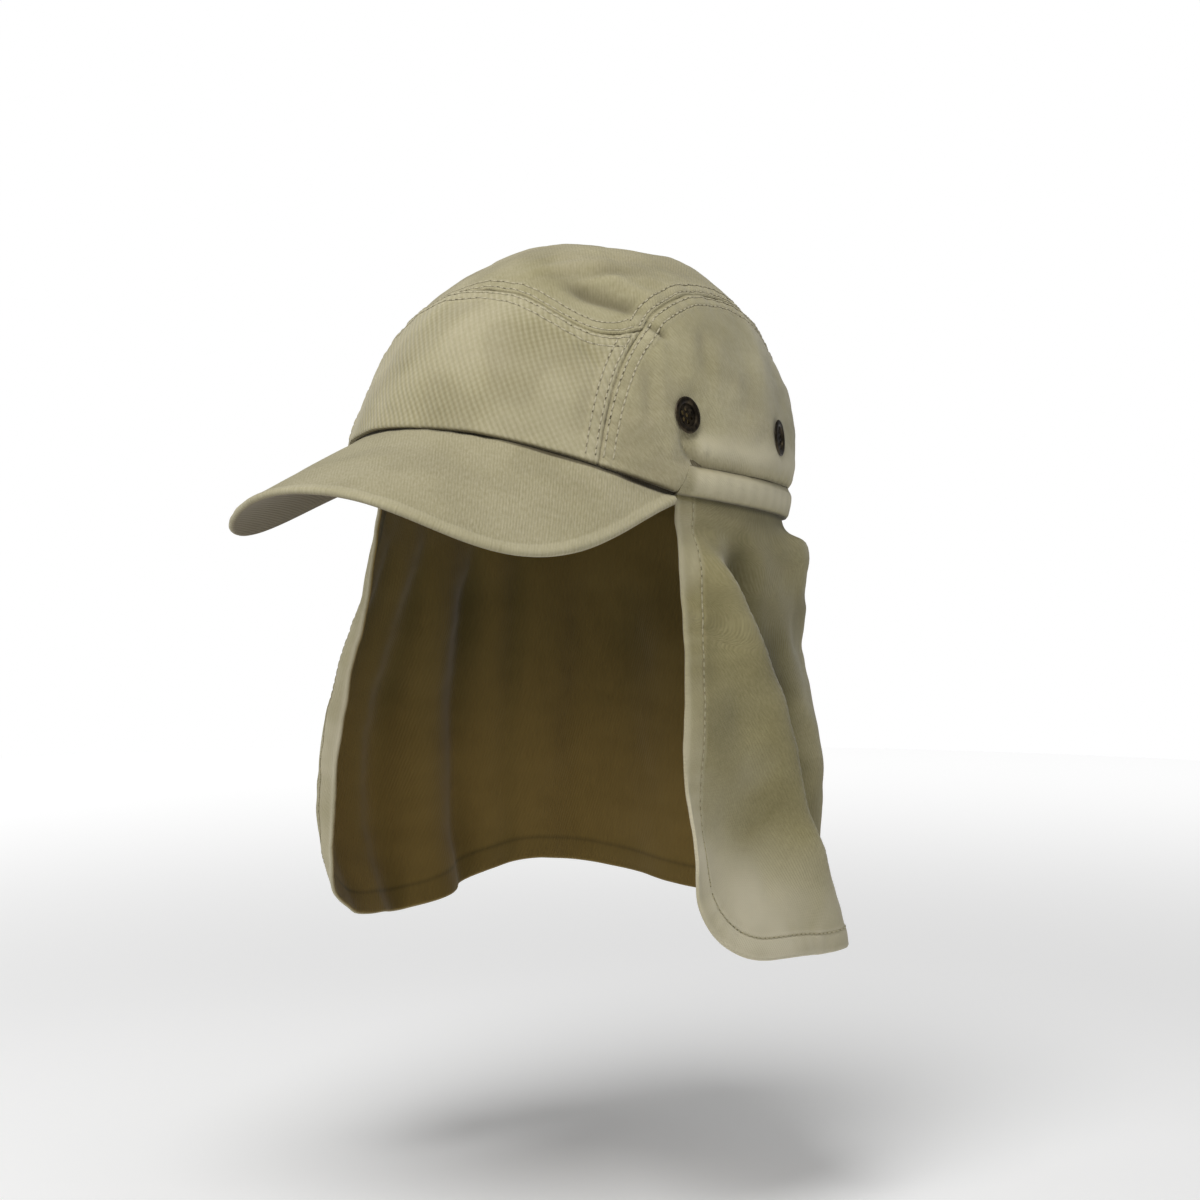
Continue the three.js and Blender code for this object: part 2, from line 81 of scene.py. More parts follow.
def addCamera():
    back = wayTo(view["azimuth"], view["elevation"])
    a = math.radians(view["azimuth"])
    right = Vector((math.cos(a), math.sin(a), 0))
    up = back.cross(right)
    data = bpy.data.cameras.new("photoCamera")
    data.lens = view["lens"]
    data.sensor_width = 36
    data.clip_start, data.clip_end = 0.1, 60
    camera = bpy.data.objects.new("photoCamera", data)
    place = back * view["distance"] + right * view["across"] - up * view["down"]
    turn = Matrix((right, up, back)).transposed().to_4x4()
    camera.matrix_world = Matrix.Translation(place * 0.001) @ turn
    bpy.context.scene.collection.objects.link(camera)
    bpy.context.scene.camera = camera


addCamera()

# Nodes and colours


def linear(hexColour):
    out = []
    for k in (1, 3, 5):
        c = int(hexColour[k:k + 2], 16) / 255
        out.append(c / 12.92 if c <= 0.04045 else ((c + 0.055) / 1.055) ** 2.4)
    return (*out, 1)


# Adds a node, with its own settings, values on its sockets and links into them
def addNode(tree, kind, settings=None, values=None, links=None):
    node = tree.nodes.new(kind)
    for name, value in (settings or {}).items():
        setattr(node, name, value)
    for socket, value in (values or {}).items():
        node.inputs[socket].default_value = value
    for socket, source in (links or {}).items():
        tree.links.new(source, node.inputs[socket])
    return node


def newMaterial(name):
    material = bpy.data.materials.new(name)
    material.use_nodes = True
    material.node_tree.nodes.clear()
    return material, material.node_tree


mixFactor, mixA, mixB, mixResult = 0, 6, 7, 2  # a colour mix node's sockets
# A wave texture of scale 1 repeats after this much, so scale = mmToWave / spacing in millimetres
mmToWave = 0.31416

# Cotton twill, garment washed: matt, with fine raised diagonal lines, a faint mottle from
# the wash, pale rubbed edges at the seams, a little fuzz and a browner reverse side. The
# pale colour stands for rubbed wear and for painted light, the dark colour for painted shade
twillLook = {
    # Each reverse colour is partly the cloth's browner back and partly painted shade of the inside; the
    # peak's, darkest, stands for the shade under it
    "frontTwill": {"face": "#b8b091", "worn": "#cbc3a6", "olive": "#8b835d", "grey": "#a59a83",
                   "grooveShade": "#463d26", "reverse": "#7b6b45", "angle": -34, "spacing": 2.3,
                   "lines": 1.15, "cross": 0.42, "mottle": 0.45, "grain": 0.3},
    "crownTwill": {"face": "#b0a887", "worn": "#c6bea0", "olive": "#837b53", "grey": "#a0957e",
                   "grooveShade": "#463d26", "reverse": "#7b6b45", "angle": -40, "spacing": 1.2,
                   "lines": 0.26, "cross": 0.3, "mottle": 0.72, "grain": 0.45},
    "peakTwill": {"face": "#aca486", "worn": "#c2ba9b", "olive": "#857d57", "grey": "#a0977f",
                  "grooveShade": "#463d26", "reverse": "#61563a", "angle": -35, "spacing": 1.2,
                  "lines": 0.3, "cross": 0.6, "mottle": 0.3, "grain": 0.6},
    "flapTwill": {"face": "#a29970", "worn": "#c1b99e", "olive": "#746b42", "grey": "#908868",
                  "grooveShade": "#3b350c", "reverse": "#7c6632", "angle": -20, "spacing": 1.2,
                  "lines": 0.26, "cross": 0.3, "mottle": 0.7, "grain": 0.45},
}


def twill(name):
    look = twillLook[name]
    material, tree = newMaterial(name)
    uv = addNode(tree, "ShaderNodeUVMap", {"uv_map": "cloth"})
    place = addNode(tree, "ShaderNodeTexCoord")
    inner = addNode(tree, "ShaderNodeAttribute", {"attribute_name": "inner"})
    wearAndShading = addNode(tree, "ShaderNodeAttribute", {"attribute_name": "wearAndShading"})
    turned = addNode(tree, "ShaderNodeMapping", {}, {"Rotation": (0, 0, math.radians(look["angle"]))},
                     {"Vector": uv.outputs["UV"]})
    # The diagonal lines of a real twill stand about 1 mm apart, too fine to show from here
    lines = addNode(tree, "ShaderNodeTexWave", {"bands_direction": "X"},
                    {"Scale": mmToWave / look["spacing"], "Distortion": 1.1, "Detail": 2,
                     "Detail Scale": 0.6}, {"Vector": turned.outputs["Vector"]})
    # The weft crosses them more faintly
    weftTurn = addNode(tree, "ShaderNodeMapping", {},
                       {"Rotation": (0, 0, math.radians(look["angle"] + 84))},
                       {"Vector": uv.outputs["UV"]})
    weft = addNode(tree, "ShaderNodeTexWave", {"bands_direction": "X"},
                   {"Scale": mmToWave / look["spacing"], "Distortion": 1.4, "Detail": 2,
                    "Detail Scale": 0.6}, {"Vector": weftTurn.outputs["Vector"]})
    # Single yarns of 0.6 mm, drawn twice as coarse, so that they show as a fine uneven grain
    yarnPlace = addNode(tree, "ShaderNodeMapping", {}, {"Scale": (1.6, 0.5, 1)},
                        {"Vector": turned.outputs["Vector"]})
    yarns = addNode(tree, "ShaderNodeTexNoise", {}, {"Scale": 0.75, "Detail": 2, "Roughness": 0.6},
                    {"Vector": yarnPlace.outputs["Vector"]})
    # Wash marks 20 to 40 mm across, with smaller ones in them, some olive and some greyer
    wash = addNode(tree, "ShaderNodeTexNoise", {}, {"Scale": 34, "Detail": 4, "Roughness": 0.62},
                   {"Vector": place.outputs["Object"]})
    tint = addNode(tree, "ShaderNodeTexNoise", {}, {"Scale": 21, "Detail": 2},
                   {"Vector": place.outputs["Object"]})
    tintSpread = addNode(tree, "ShaderNodeMapRange", {}, {"From Min": 0.4, "From Max": 0.6},
                         {"Value": tint.outputs["Fac"]})
    mark = addNode(tree, "ShaderNodeMix", {"data_type": "RGBA"},
                   {mixA: linear(look["olive"]), mixB: linear(look["grey"])},
                   {mixFactor: tintSpread.outputs["Result"]})
    washSpread = addNode(tree, "ShaderNodeMapRange", {}, {"From Min": 0.32, "From Max": 0.7},
                         {"Value": wash.outputs["Fac"]})
    # Above nought the cloth goes paler, for rubbed wear and painted light; below nought it goes darker,
    # for painted shade and some random tone
    rubbedAndLit = addNode(tree, "ShaderNodeMath", {"operation": "MAXIMUM"}, {1: 0.0},
                     {0: wearAndShading.outputs["Fac"]})
    sunk = addNode(tree, "ShaderNodeMath", {"operation": "MULTIPLY", "use_clamp": True}, {1: -1.0},
                   {0: wearAndShading.outputs["Fac"]})
    washed = addNode(tree, "ShaderNodeMath", {"operation": "MULTIPLY"},
                     {1: 0.7 * look["mottle"]}, {0: washSpread.outputs["Result"]})
    mottled = addNode(tree, "ShaderNodeMix", {"data_type": "RGBA"},
                      {mixA: linear(look["face"])},
                      {mixFactor: washed.outputs["Value"], mixB: mark.outputs[mixResult]})
    # The wash has flattened the lines in places
    clear = addNode(tree, "ShaderNodeMapRange", {},
                    {"From Min": 0.62, "From Max": 0.38, "To Min": 0.2 * look["lines"],
                     "To Max": 0.52 * look["lines"]}, {"Value": tint.outputs["Fac"]})
    crossed = addNode(tree, "ShaderNodeMath", {"operation": "MULTIPLY_ADD"}, {1: look["cross"]},
                      {0: weft.outputs["Fac"], 2: lines.outputs["Fac"]})
    lineShade = addNode(tree, "ShaderNodeMath", {"operation": "MULTIPLY", "use_clamp": True}, {},
                        {0: crossed.outputs["Value"], 1: clear.outputs["Result"]})
    grain = addNode(tree, "ShaderNodeMapRange", {},
                    {"From Min": 0.3, "From Max": 0.7, "To Min": 0.0, "To Max": look["grain"]},
                    {"Value": yarns.outputs["Fac"]})
    # Each tone is laid over the ones before it
    laid = mottled
    for tone, share in (("olive", lineShade.outputs["Value"]), ("olive", grain.outputs["Result"]),
                        ("worn", rubbedAndLit.outputs["Value"]), ("reverse", inner.outputs["Fac"]),
                        ("grooveShade", sunk.outputs["Value"])):
        laid = addNode(tree, "ShaderNodeMix", {"data_type": "RGBA"}, {mixB: linear(look[tone])},
                       {mixFactor: share, mixA: laid.outputs[mixResult]})
    heights = addNode(tree, "ShaderNodeMath", {"operation": "MULTIPLY_ADD"}, {1: 0.55},
                      {0: yarns.outputs["Fac"], 2: lines.outputs["Fac"]})
    bump = addNode(tree, "ShaderNodeBump", {},
                   {"Strength": 0.4 * look["lines"] + 0.2, "Distance": 0.0003},
                   {"Height": heights.outputs["Value"]})
    shader = addNode(tree, "ShaderNodeBsdfPrincipled", {},
                     {"Roughness": 0.88, "Specular IOR Level": 0.25, "Sheen Weight": 0.18,
                      "Sheen Roughness": 0.55},
                     {"Base Color": laid.outputs[mixResult], "Normal": bump.outputs["Normal"]})
    addNode(tree, "ShaderNodeOutputMaterial", {}, {}, {"Surface": shader.outputs["BSDF"]})
    return material


# Spun polyester sewing thread, dyed to match: a soft shine and a two-ply twist
def sewingThread(name, colour, shade, hole):
    material, tree = newMaterial(name)
    uv = addNode(tree, "ShaderNodeUVMap", {"uv_map": "cloth"})
    lean = addNode(tree, "ShaderNodeMapping", {}, {"Rotation": (0, 0, math.radians(35))},
                   {"Vector": uv.outputs["UV"]})
    # The plies cross every 0.5 mm
    plies = addNode(tree, "ShaderNodeTexWave", {}, {"Scale": mmToWave / 0.5},
                    {"Vector": lean.outputs["Vector"]})
    # Where a stitch dives into its needle hole it is in shadow
    wearAndShading = addNode(tree, "ShaderNodeAttribute", {"attribute_name": "wearAndShading"})
    # The plies are painted paler and darker along the twist, as painted light and shade
    tone = addNode(tree, "ShaderNodeMix", {"data_type": "RGBA"},
                   {mixA: linear(shade), mixB: linear(colour)}, {mixFactor: plies.outputs["Fac"]})
    diving = addNode(tree, "ShaderNodeMix", {"data_type": "RGBA"}, {mixB: linear(hole)},
                     {mixFactor: wearAndShading.outputs["Fac"], mixA: tone.outputs[mixResult]})
    bump = addNode(tree, "ShaderNodeBump", {}, {"Strength": 0.5, "Distance": 0.0001},
                   {"Height": plies.outputs["Fac"]})
    shader = addNode(tree, "ShaderNodeBsdfPrincipled", {},
                     {"Roughness": 0.62, "Specular IOR Level": 0.4, "Sheen Weight": 0.1},
                     {"Base Color": diving.outputs[mixResult], "Normal": bump.outputs["Normal"]})
    addNode(tree, "ShaderNodeOutputMaterial", {}, {}, {"Surface": shader.outputs["BSDF"]})
    return material


# Antique brass, oxidised dark and waxed: brown-black with warmer rubbed spots and a soft glint
def antiqueBrass():
    material, tree = newMaterial("antiqueBrass")
    place = addNode(tree, "ShaderNodeTexCoord")
    # Patina in spots of 1 to 3 mm
    patina = addNode(tree, "ShaderNodeTexNoise", {}, {"Scale": 420, "Detail": 3, "Roughness": 0.6},
                     {"Vector": place.outputs["Object"]})
    spread = addNode(tree, "ShaderNodeMapRange", {}, {"From Min": 0.35, "From Max": 0.72},
                     {"Value": patina.outputs["Fac"]})
    tone = addNode(tree, "ShaderNodeMix", {"data_type": "RGBA"},
                   {mixA: linear("#2d2822"), mixB: linear("#554b3b")},
                   {mixFactor: spread.outputs["Result"]})
    rough = addNode(tree, "ShaderNodeMapRange", {}, {"To Min": 0.34, "To Max": 0.56},
                    {"Value": patina.outputs["Fac"]})
    bump = addNode(tree, "ShaderNodeBump", {}, {"Strength": 0.25, "Distance": 0.0001},
                   {"Height": patina.outputs["Fac"]})
    shader = addNode(tree, "ShaderNodeBsdfPrincipled", {}, {"Metallic": 1.0},
                     {"Base Color": tone.outputs[mixResult], "Roughness": rough.outputs["Result"],
                      "Normal": bump.outputs["Normal"]})
    addNode(tree, "ShaderNodeOutputMaterial", {}, {}, {"Surface": shader.outputs["BSDF"]})
    return material


materials = {name: twill(name) for name in twillLook}
materials["crownThread"] = sewingThread("crownThread", "#cbc3a7", "#b0a88b", "#554c31")
materials["flapThread"] = sewingThread("flapThread", "#b9b192", "#9c9476", "#6d6544")
materials["antiqueBrass"] = antiqueBrass()
print("materials made:", ", ".join(materials))

# Curves and small sums


def eased(t):
    t = np.clip(t, 0, 1)
    return t * t * (3 - 2 * t)


# 1 in the middle, a third at the given width and nothing far out
def bell(away, width):
    return np.exp(-(away / width) ** 2)


# The same from a pair: a height or a tone, and a width
def mound(pair, away):
    return pair[0] * bell(away, pair[1])


def signedPower(value, power):
    return np.sign(value) * np.abs(value) ** power


def unit(vectors):
    return vectors / np.maximum(np.linalg.norm(vectors, axis=-1, keepdims=True), 1e-9)


# Values of a table's column at some places, on a smooth curve through its rows
def through(rows, column, places):
    keys = np.array([row[0] for row in rows], float)
    values = np.array([row[column] for row in rows], float)
    slopes = np.empty_like(values)
    slopes[1:-1] = (values[2:] - values[:-2]) / (keys[2:] - keys[:-2])
    slopes[0] = (values[1] - values[0]) / (keys[1] - keys[0])
    slopes[-1] = (values[-1] - values[-2]) / (keys[-1] - keys[-2])
    at = np.clip(places, keys[0], keys[-1])
    i = np.clip(np.searchsorted(keys, at) - 1, 0, len(keys) - 2)
    span = keys[i + 1] - keys[i]
    t = (at - keys[i]) / span
    return ((2 * t ** 3 - 3 * t ** 2 + 1) * values[i] + (t ** 3 - 2 * t ** 2 + t) * span * slopes[i]
            + (3 * t ** 2 - 2 * t ** 3) * values[i + 1] + (t ** 3 - t ** 2) * span * slopes[i + 1])


# Shares of a length, close together near its ends and wider between
def graded(length, fine, coarse, border):
    s = np.linspace(0, length, 4001)
    near = np.minimum(s, length - s) / border
    step = fine + (coarse - fine) * eased((near - 0.8) / 0.7)
    count = np.concatenate([[0], np.cumsum(np.diff(s) * 2 / (step[1:] + step[:-1]))])
    steps = math.ceil(count[-1])
    return np.interp(np.linspace(0, count[-1], steps + 1), count, s) / length


# A smooth random field of about the given wave length, the same on every run
def drift(points, length, seed, count=26):
    dice = np.random.default_rng(seed)
    ways = unit(dice.normal(size=(count, 3)))
    rates = 2 * np.pi / (length * dice.uniform(0.7, 1.5, count))
    starts = dice.uniform(0, 2 * np.pi, count)
    total = np.zeros(points.shape[:-1])
    for way, rate, start in zip(ways, rates, starts):
        total += np.sin(points @ way * rate + start)
    return total / math.sqrt(count / 2)


def lengthsAlong(line):
    steps = np.linalg.norm(np.diff(line, axis=0), axis=-1)
    return np.concatenate([[0], np.cumsum(steps)])


def evenly(line, step):
    along = lengthsAlong(line)
    count = max(2, int(along[-1] / step) + 1)
    at = np.linspace(0, along[-1], count)
    return np.stack([np.interp(at, along, line[:, k]) for k in range(3)], -1)


# Distance of each point from a line, and how far along the line that is
def nearestOn(points, line):
    line = evenly(line, 0.3)
    along = lengthsAlong(line)
    flat = points.reshape(-1, 3)
    away = np.empty(len(flat))
    place = np.empty(len(flat))
    for k in range(0, len(flat), 4000):
        part = flat[k:k + 4000]
        squares = (part ** 2).sum(1)[:, None] + (line ** 2).sum(1)[None] - 2 * part @ line.T
        best = squares.argmin(1)
        away[k:k + 4000] = np.linalg.norm(part - line[best], axis=1)
        place[k:k + 4000] = along[best]
    return away.reshape(points.shape[:-1]), place.reshape(points.shape[:-1])


# The crown's surface, in the tilted frame of its rim

tiltBack = math.radians(10)
sewn = 0.3  # gap between the frame's pieces
crown = {
    "halfLength": 100,
    "halfWidth": 83,
    "height": 103,
    "ovalPower": 2.115,
    "risePower": 2.264,
    "topSetBack": 9.7,
    "wall": 1.8,
}
peak = {
    "endAngle": 72.8,
    "arch": 15,
    "archPower": 1.12,
    "reach": 127.6,
    "squareness": 2.36,
    "sideBulge": 9,
    "frontDrop": 15.2,
    "sideDrop": 56.2,
    "thickness": 3,
    "endTrim": 1.5,
}
band = {
    "height": 12,
    "rampStart": 71,
    "rampEnd": 74,
    "thickness": 2.2,
}
cornerRound, cornerUp = 57, 35.3
frontSeamAngle, frontSeamPower = 49, 3
backSeamAngle = 158
# Angle round and angle up of the seam between front and top panel
frontTopRows = [(0, 44), (15, 42.3), (28, 38), (42, 33), (50, 33), (cornerRound, cornerUp)]
# Share of the seam between top and side panel, its angle round and its angle up
topSideRows = [(0, 57, 35.3), (0.1, 62, 42), (0.25, 78, 50.5),
               (0.5, 106, 52), (0.75, 143, 36), (1, 158, 7)]
# Swells and hollows: place, reach and rise
reliefRows = [
    (38, -52, 78, 15, -3.2),
    (-36, -52, 80, 24, -3),
    (0, -84, 48, 26, 1),
    (79, 8, 42, 26, 0.8),
    (-79, 8, 42, 26, 0.8),
]


def levelled(p):
    c, s = math.cos(tiltBack), math.sin(tiltBack)
    return np.stack([p[..., 0], p[..., 1] * c + p[..., 2] * s, p[..., 2] * c - p[..., 1] * s], -1)


def rimPlan(turn):
    a = np.radians(turn)
    power = 2 / crown["ovalPower"]
    return (crown["halfWidth"] * signedPower(np.sin(a), power),
            -crown["halfLength"] * signedPower(np.cos(a), power))


def shellPoint(turn, up):
    x, y = rimPlan(turn)
    power = 2 / crown["risePower"]
    close = np.cos(np.radians(up)) ** power
    rise = np.sin(np.radians(up)) ** power
    return np.stack(np.broadcast_arrays(x * close, y * close + crown["topSetBack"] * rise,
                                        crown["height"] * rise), -1)


def shellAtHeight(turn, height):
    rise = np.maximum(height, 0) / crown["height"]
    p = shellPoint(turn, np.degrees(np.arcsin(rise ** (crown["risePower"] / 2))))
    p[..., 2] = height
    return p


def shellLevel(p):
    rise = np.maximum(p[..., 2], 0) / crown["height"]
    across = np.abs(p[..., 0] / crown["halfWidth"])
    along = np.abs((p[..., 1] - crown["topSetBack"] * rise) / crown["halfLength"])
    oval = across ** crown["ovalPower"] + along ** crown["ovalPower"]
    return oval ** (crown["risePower"] / crown["ovalPower"]) + rise ** crown["risePower"]


def shellNormal(p):
    steps = np.eye(3) * 0.05
    return unit(np.stack([shellLevel(p + d) - shellLevel(p - d) for d in steps], -1))


heart = np.array([0.0, 5.0, 10.0])  # points move onto the shell along lines from here
nearestShare, furthestShare = 0.2, 3.0
halvings = 34


def ontoShell(p):
    way = p - heart
    low = np.full(p.shape[:-1], nearestShare)
    high = np.full(p.shape[:-1], furthestShare)
    for _ in range(halvings):
        middle = (low + high) / 2
        inside = shellLevel(heart + way * middle[..., None]) < 1
        low = np.where(inside, middle, low)
        high = np.where(inside, high, middle)
    return heart + way * low[..., None]


def relief(p):
    rise = np.zeros(p.shape[:-1])
    for x, y, z, reach, height in reliefRows:
        rise += height * np.exp(-((p - (x, y, z)) ** 2).sum(-1) / reach ** 2)
    return rise


def peakSeamHeight(turn):
    way = np.abs(turn) / peak["endAngle"]
    arch = np.cos(np.minimum(way, 1) * np.pi / 2)
    return peak["arch"] * np.maximum(arch, 0) ** peak["archPower"]


def bandTop(turn):
    way = (np.abs(turn) - band["rampStart"]) / (band["rampEnd"] - band["rampStart"])
    return band["height"] * np.clip(way, 0, 1)


def lowerEdge(turn):
    return shellAtHeight(turn, np.maximum(peakSeamHeight(turn), bandTop(turn)) + sewn)


def frontSideSeam(step):
    turn = frontSeamAngle + (cornerRound - frontSeamAngle) * step ** frontSeamPower
    foot = lowerEdge(np.array(frontSeamAngle))[2]
    up = np.degrees(np.arcsin((foot / crown["height"]) ** (crown["risePower"] / 2)))
    return shellPoint(turn, up + (cornerUp - up) * step)


def frontTop(side):
    return shellPoint(side * cornerRound, through(frontTopRows, 1, np.abs(side) * cornerRound))


def topSide(step):
    p = shellPoint(through(topSideRows, 1, step), through(topSideRows, 2, step))
    foot = lowerEdge(np.array(backSeamAngle))
    return p + (foot - p) * eased((step - 0.85) / 0.15)[..., None]


def mirrored(p):
    return p * (-1, 1, 1)


# Sheets of cloth


def gridNormals(grid, outwards):
    across = np.gradient(grid, axis=0)
    along = np.gradient(grid, axis=1)
    normals = unit(np.cross(across, along))
    flip = np.sign((normals * outwards).sum(-1, keepdims=True))
    return normals * np.where(flip == 0, 1, flip)


# Where each point lies in the flat cloth: the middle column is laid straight, and every
# row is walked from there with the turns that it makes in the surface
def laidFlat(grid, normals):
    middle = grid.shape[0] // 2
    flat = np.zeros(grid.shape[:2] + (2,))
    upLine = grid[middle]
    flat[middle, :, 1] = lengthsAlong(upLine)
    upWay = unit(np.gradient(upLine, axis=0))
    side = unit(np.cross(upWay, normals[middle]))
    for hand in (1, -1):
        line = grid[middle::hand]
        facing = normals[middle::hand]
        edges = np.diff(line, axis=0)
        sizes = np.linalg.norm(edges, axis=-1)
        inPlane = edges[1:] - (edges[1:] * facing[1:-1]).sum(-1, keepdims=True) * facing[1:-1]
        before = edges[:-1] - (edges[:-1] * facing[1:-1]).sum(-1, keepdims=True) * facing[1:-1]
        aside = (facing[1:-1] * np.cross(before, inPlane)).sum(-1)
        turn = np.arctan2(aside, (before * inPlane).sum(-1))
        start = np.arctan2((edges[0] * upWay).sum(-1), hand * (edges[0] * side).sum(-1))
        heading = np.concatenate([start[None], start + hand * np.cumsum(turn, axis=0)])
        x = hand * np.cumsum(sizes * np.cos(heading), axis=0)
        y = np.cumsum(sizes * np.sin(heading), axis=0)
        flat[middle + hand::hand, :, 0][:len(x)] = x
        flat[middle + hand::hand, :, 1][:len(y)] = flat[middle, :, 1] + y
    return flat


weldGap = 0.000002  # in metres: closes the pointed ends
clothCrease, threadCrease, metalCrease = 50, 60, 40  # edges sharper than this stay sharp


# A closed sheet from its outer and inner grids of points, with a rounded rim between them
def clothPiece(name, outer, inner, flat, wearAndShading, material, rimRings=3, bulge=1.0, paintedShadeInside=None):
    columns, rows = outer.shape[:2]
    total = columns * rows
    index = np.arange(total).reshape(columns, rows)
    ring = np.concatenate([index[:-1, 0], index[-1, :-1], index[:0:-1, -1], index[0, :0:-1]])
    allOuter, allInner = outer.reshape(-1, 3), inner.reshape(-1, 3)
    rimOuter, rimInner = allOuter[ring], allInner[ring]
    middle, half = (rimOuter + rimInner) / 2, (rimOuter - rimInner) / 2
    tangent = np.roll(middle, -1, axis=0) - np.roll(middle, 1, axis=0)
    away = unit(np.cross(tangent, half))
    inwards = np.concatenate([index[:-1, 1], index[-2, :-1], index[:0:-1, -2], index[1, :0:-1]])
    flip = np.sign(((allOuter[inwards] - rimOuter) * away).sum(-1, keepdims=True))
    away = -away * np.where(flip == 0, 1, flip)
    reach = np.linalg.norm(half, axis=1, keepdims=True) * bulge
    angles = np.pi * np.arange(1, rimRings + 1) / (rimRings + 1)
    rings = [middle + half * math.cos(a) + away * reach * math.sin(a) for a in angles]
    points = np.concatenate([allOuter, allInner, *rings]) * 0.001
    faces = []
    a, b = index[:-1, :-1].ravel(), index[1:, :-1].ravel()
    c, d = index[1:, 1:].ravel(), index[:-1, 1:].ravel()
    faces.append(np.stack([a, b, c, d], 1))
    faces.append(np.stack([a, d, c, b], 1) + total)
    loops = [ring] + [2 * total + k * len(ring) + np.arange(len(ring)) for k in range(rimRings)]
    loops.append(ring + total)
    for upper, lower in zip(loops[:-1], loops[1:]):
        faces.append(np.stack([upper, lower, np.roll(lower, -1), np.roll(upper, -1)], 1))
    faces = np.concatenate(faces)
    corners = points[faces]
    spans = np.cross(corners[:, 2] - corners[:, 0], corners[:, 3] - corners[:, 1])
    if (corners[:, 0] * spans).sum() < 0:
        faces = faces[:, ::-1]
    mesh = bpy.data.meshes.new(name)
    mesh.from_pydata(points.tolist(), [], faces.tolist())
    mesh.update()
    uvs = np.concatenate([flat.reshape(-1, 2)] * 2 + [flat.reshape(-1, 2)[ring]] * rimRings)
    layer = mesh.uv_layers.new(name="cloth")
    layer.data.foreach_set("uv", uvs[faces.ravel()].astype(np.float32).ravel())
    shares = np.arange(1, rimRings + 1) / (rimRings + 1)
    innerness = np.concatenate([np.zeros(total), np.ones(total)]
                               + [np.full(len(ring), eased(2 * s - 0.8)) for s in shares])
    # Each point's tone holds rubbed wear and random tone together with painted light and shade
    inside = np.zeros(total) if paintedShadeInside is None else paintedShadeInside.ravel()
    wearAndShadingValues = np.concatenate([wearAndShading.ravel(), inside] + [wearAndShading.ravel()[ring]] * rimRings)
    for label, values in (("inner", innerness), ("wearAndShading", wearAndShadingValues)):
        attribute = mesh.attributes.new(label, "FLOAT", "POINT")
        attribute.data.foreach_set("value", values.astype(np.float32))
    mesh.materials.append(material)
    piece = bpy.data.objects.new(name, mesh)
    bpy.context.scene.collection.objects.link(piece)
    activate(piece)
    bpy.ops.object.mode_set(mode="EDIT")
    bpy.ops.mesh.select_all(action="SELECT")
    bpy.ops.mesh.remove_doubles(threshold=weldGap)
    bpy.ops.object.mode_set(mode="OBJECT")
    smoothed(piece, clothCrease)
    return piece


def activate(piece):
    bpy.ops.object.select_all(action="DESELECT")
    piece.select_set(True)
    bpy.context.view_layer.objects.active = piece


def smoothed(piece, angle):
    activate(piece)
    bpy.ops.object.shade_smooth_by_angle(angle=math.radians(angle))
    bpy.ops.object.select_all(action="DESELECT")


def seated(piece, slot, *nodes):
    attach(piece, "root")
    if nodes:
        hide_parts(*nodes)
    return piece


# Topstitching: rows of small tapered stitches that sink into the cloth at their ends

stitching = {
    "pitch": 3.3,
    "length": 2.9,
    "radius": 0.34,
    "sides": 5,
    "flatness": 0.85,
    "uneven": (0.94, 1.04),
    "twistTurns": 1.7,
    # place along the stitch, width, height above the cloth and shadow of each ring
    "rings": [
        (-1.12, 0.75, 0.0, 1),
        (-0.74, 0.95, 0.3, 0.85),
        (-0.5, 1, 0.5, 0.05),
        (0.5, 1, 0.5, 0.05),
        (0.74, 0.95, 0.3, 0.85),
        (1.12, 0.75, 0.0, 1),
    ],
}


# The line on a sheet where a field of distances reaches a value, walked in from one border
def rowAt(grid, normals, away, place, border, value):
    if border in ("start", "end"):
        grid, normals, away, place = grid.swapaxes(0, 1), normals.swapaxes(0, 1), away.T, place.T
    if border in ("high", "end"):
        grid, normals, away, place = grid[:, ::-1], normals[:, ::-1], away[:, ::-1], place[:, ::-1]
    past = away >= value
    j = np.clip(past.argmax(1), 1, None)
    k = np.arange(len(grid))
    before, after = away[k, j - 1], away[k, j]
    t = np.clip((value - before) / np.maximum(after - before, 1e-6), 0, 1)
    keep = past.any(1) & (past.argmax(1) > 0)
    spot = place[k, j - 1] * (1 - t) + place[k, j] * t
    t = t[:, None]
    line = grid[k, j - 1] * (1 - t) + grid[k, j] * t
    facing = unit(normals[k, j - 1] * (1 - t) + normals[k, j] * t)
    return line[keep], facing[keep], spot[keep]


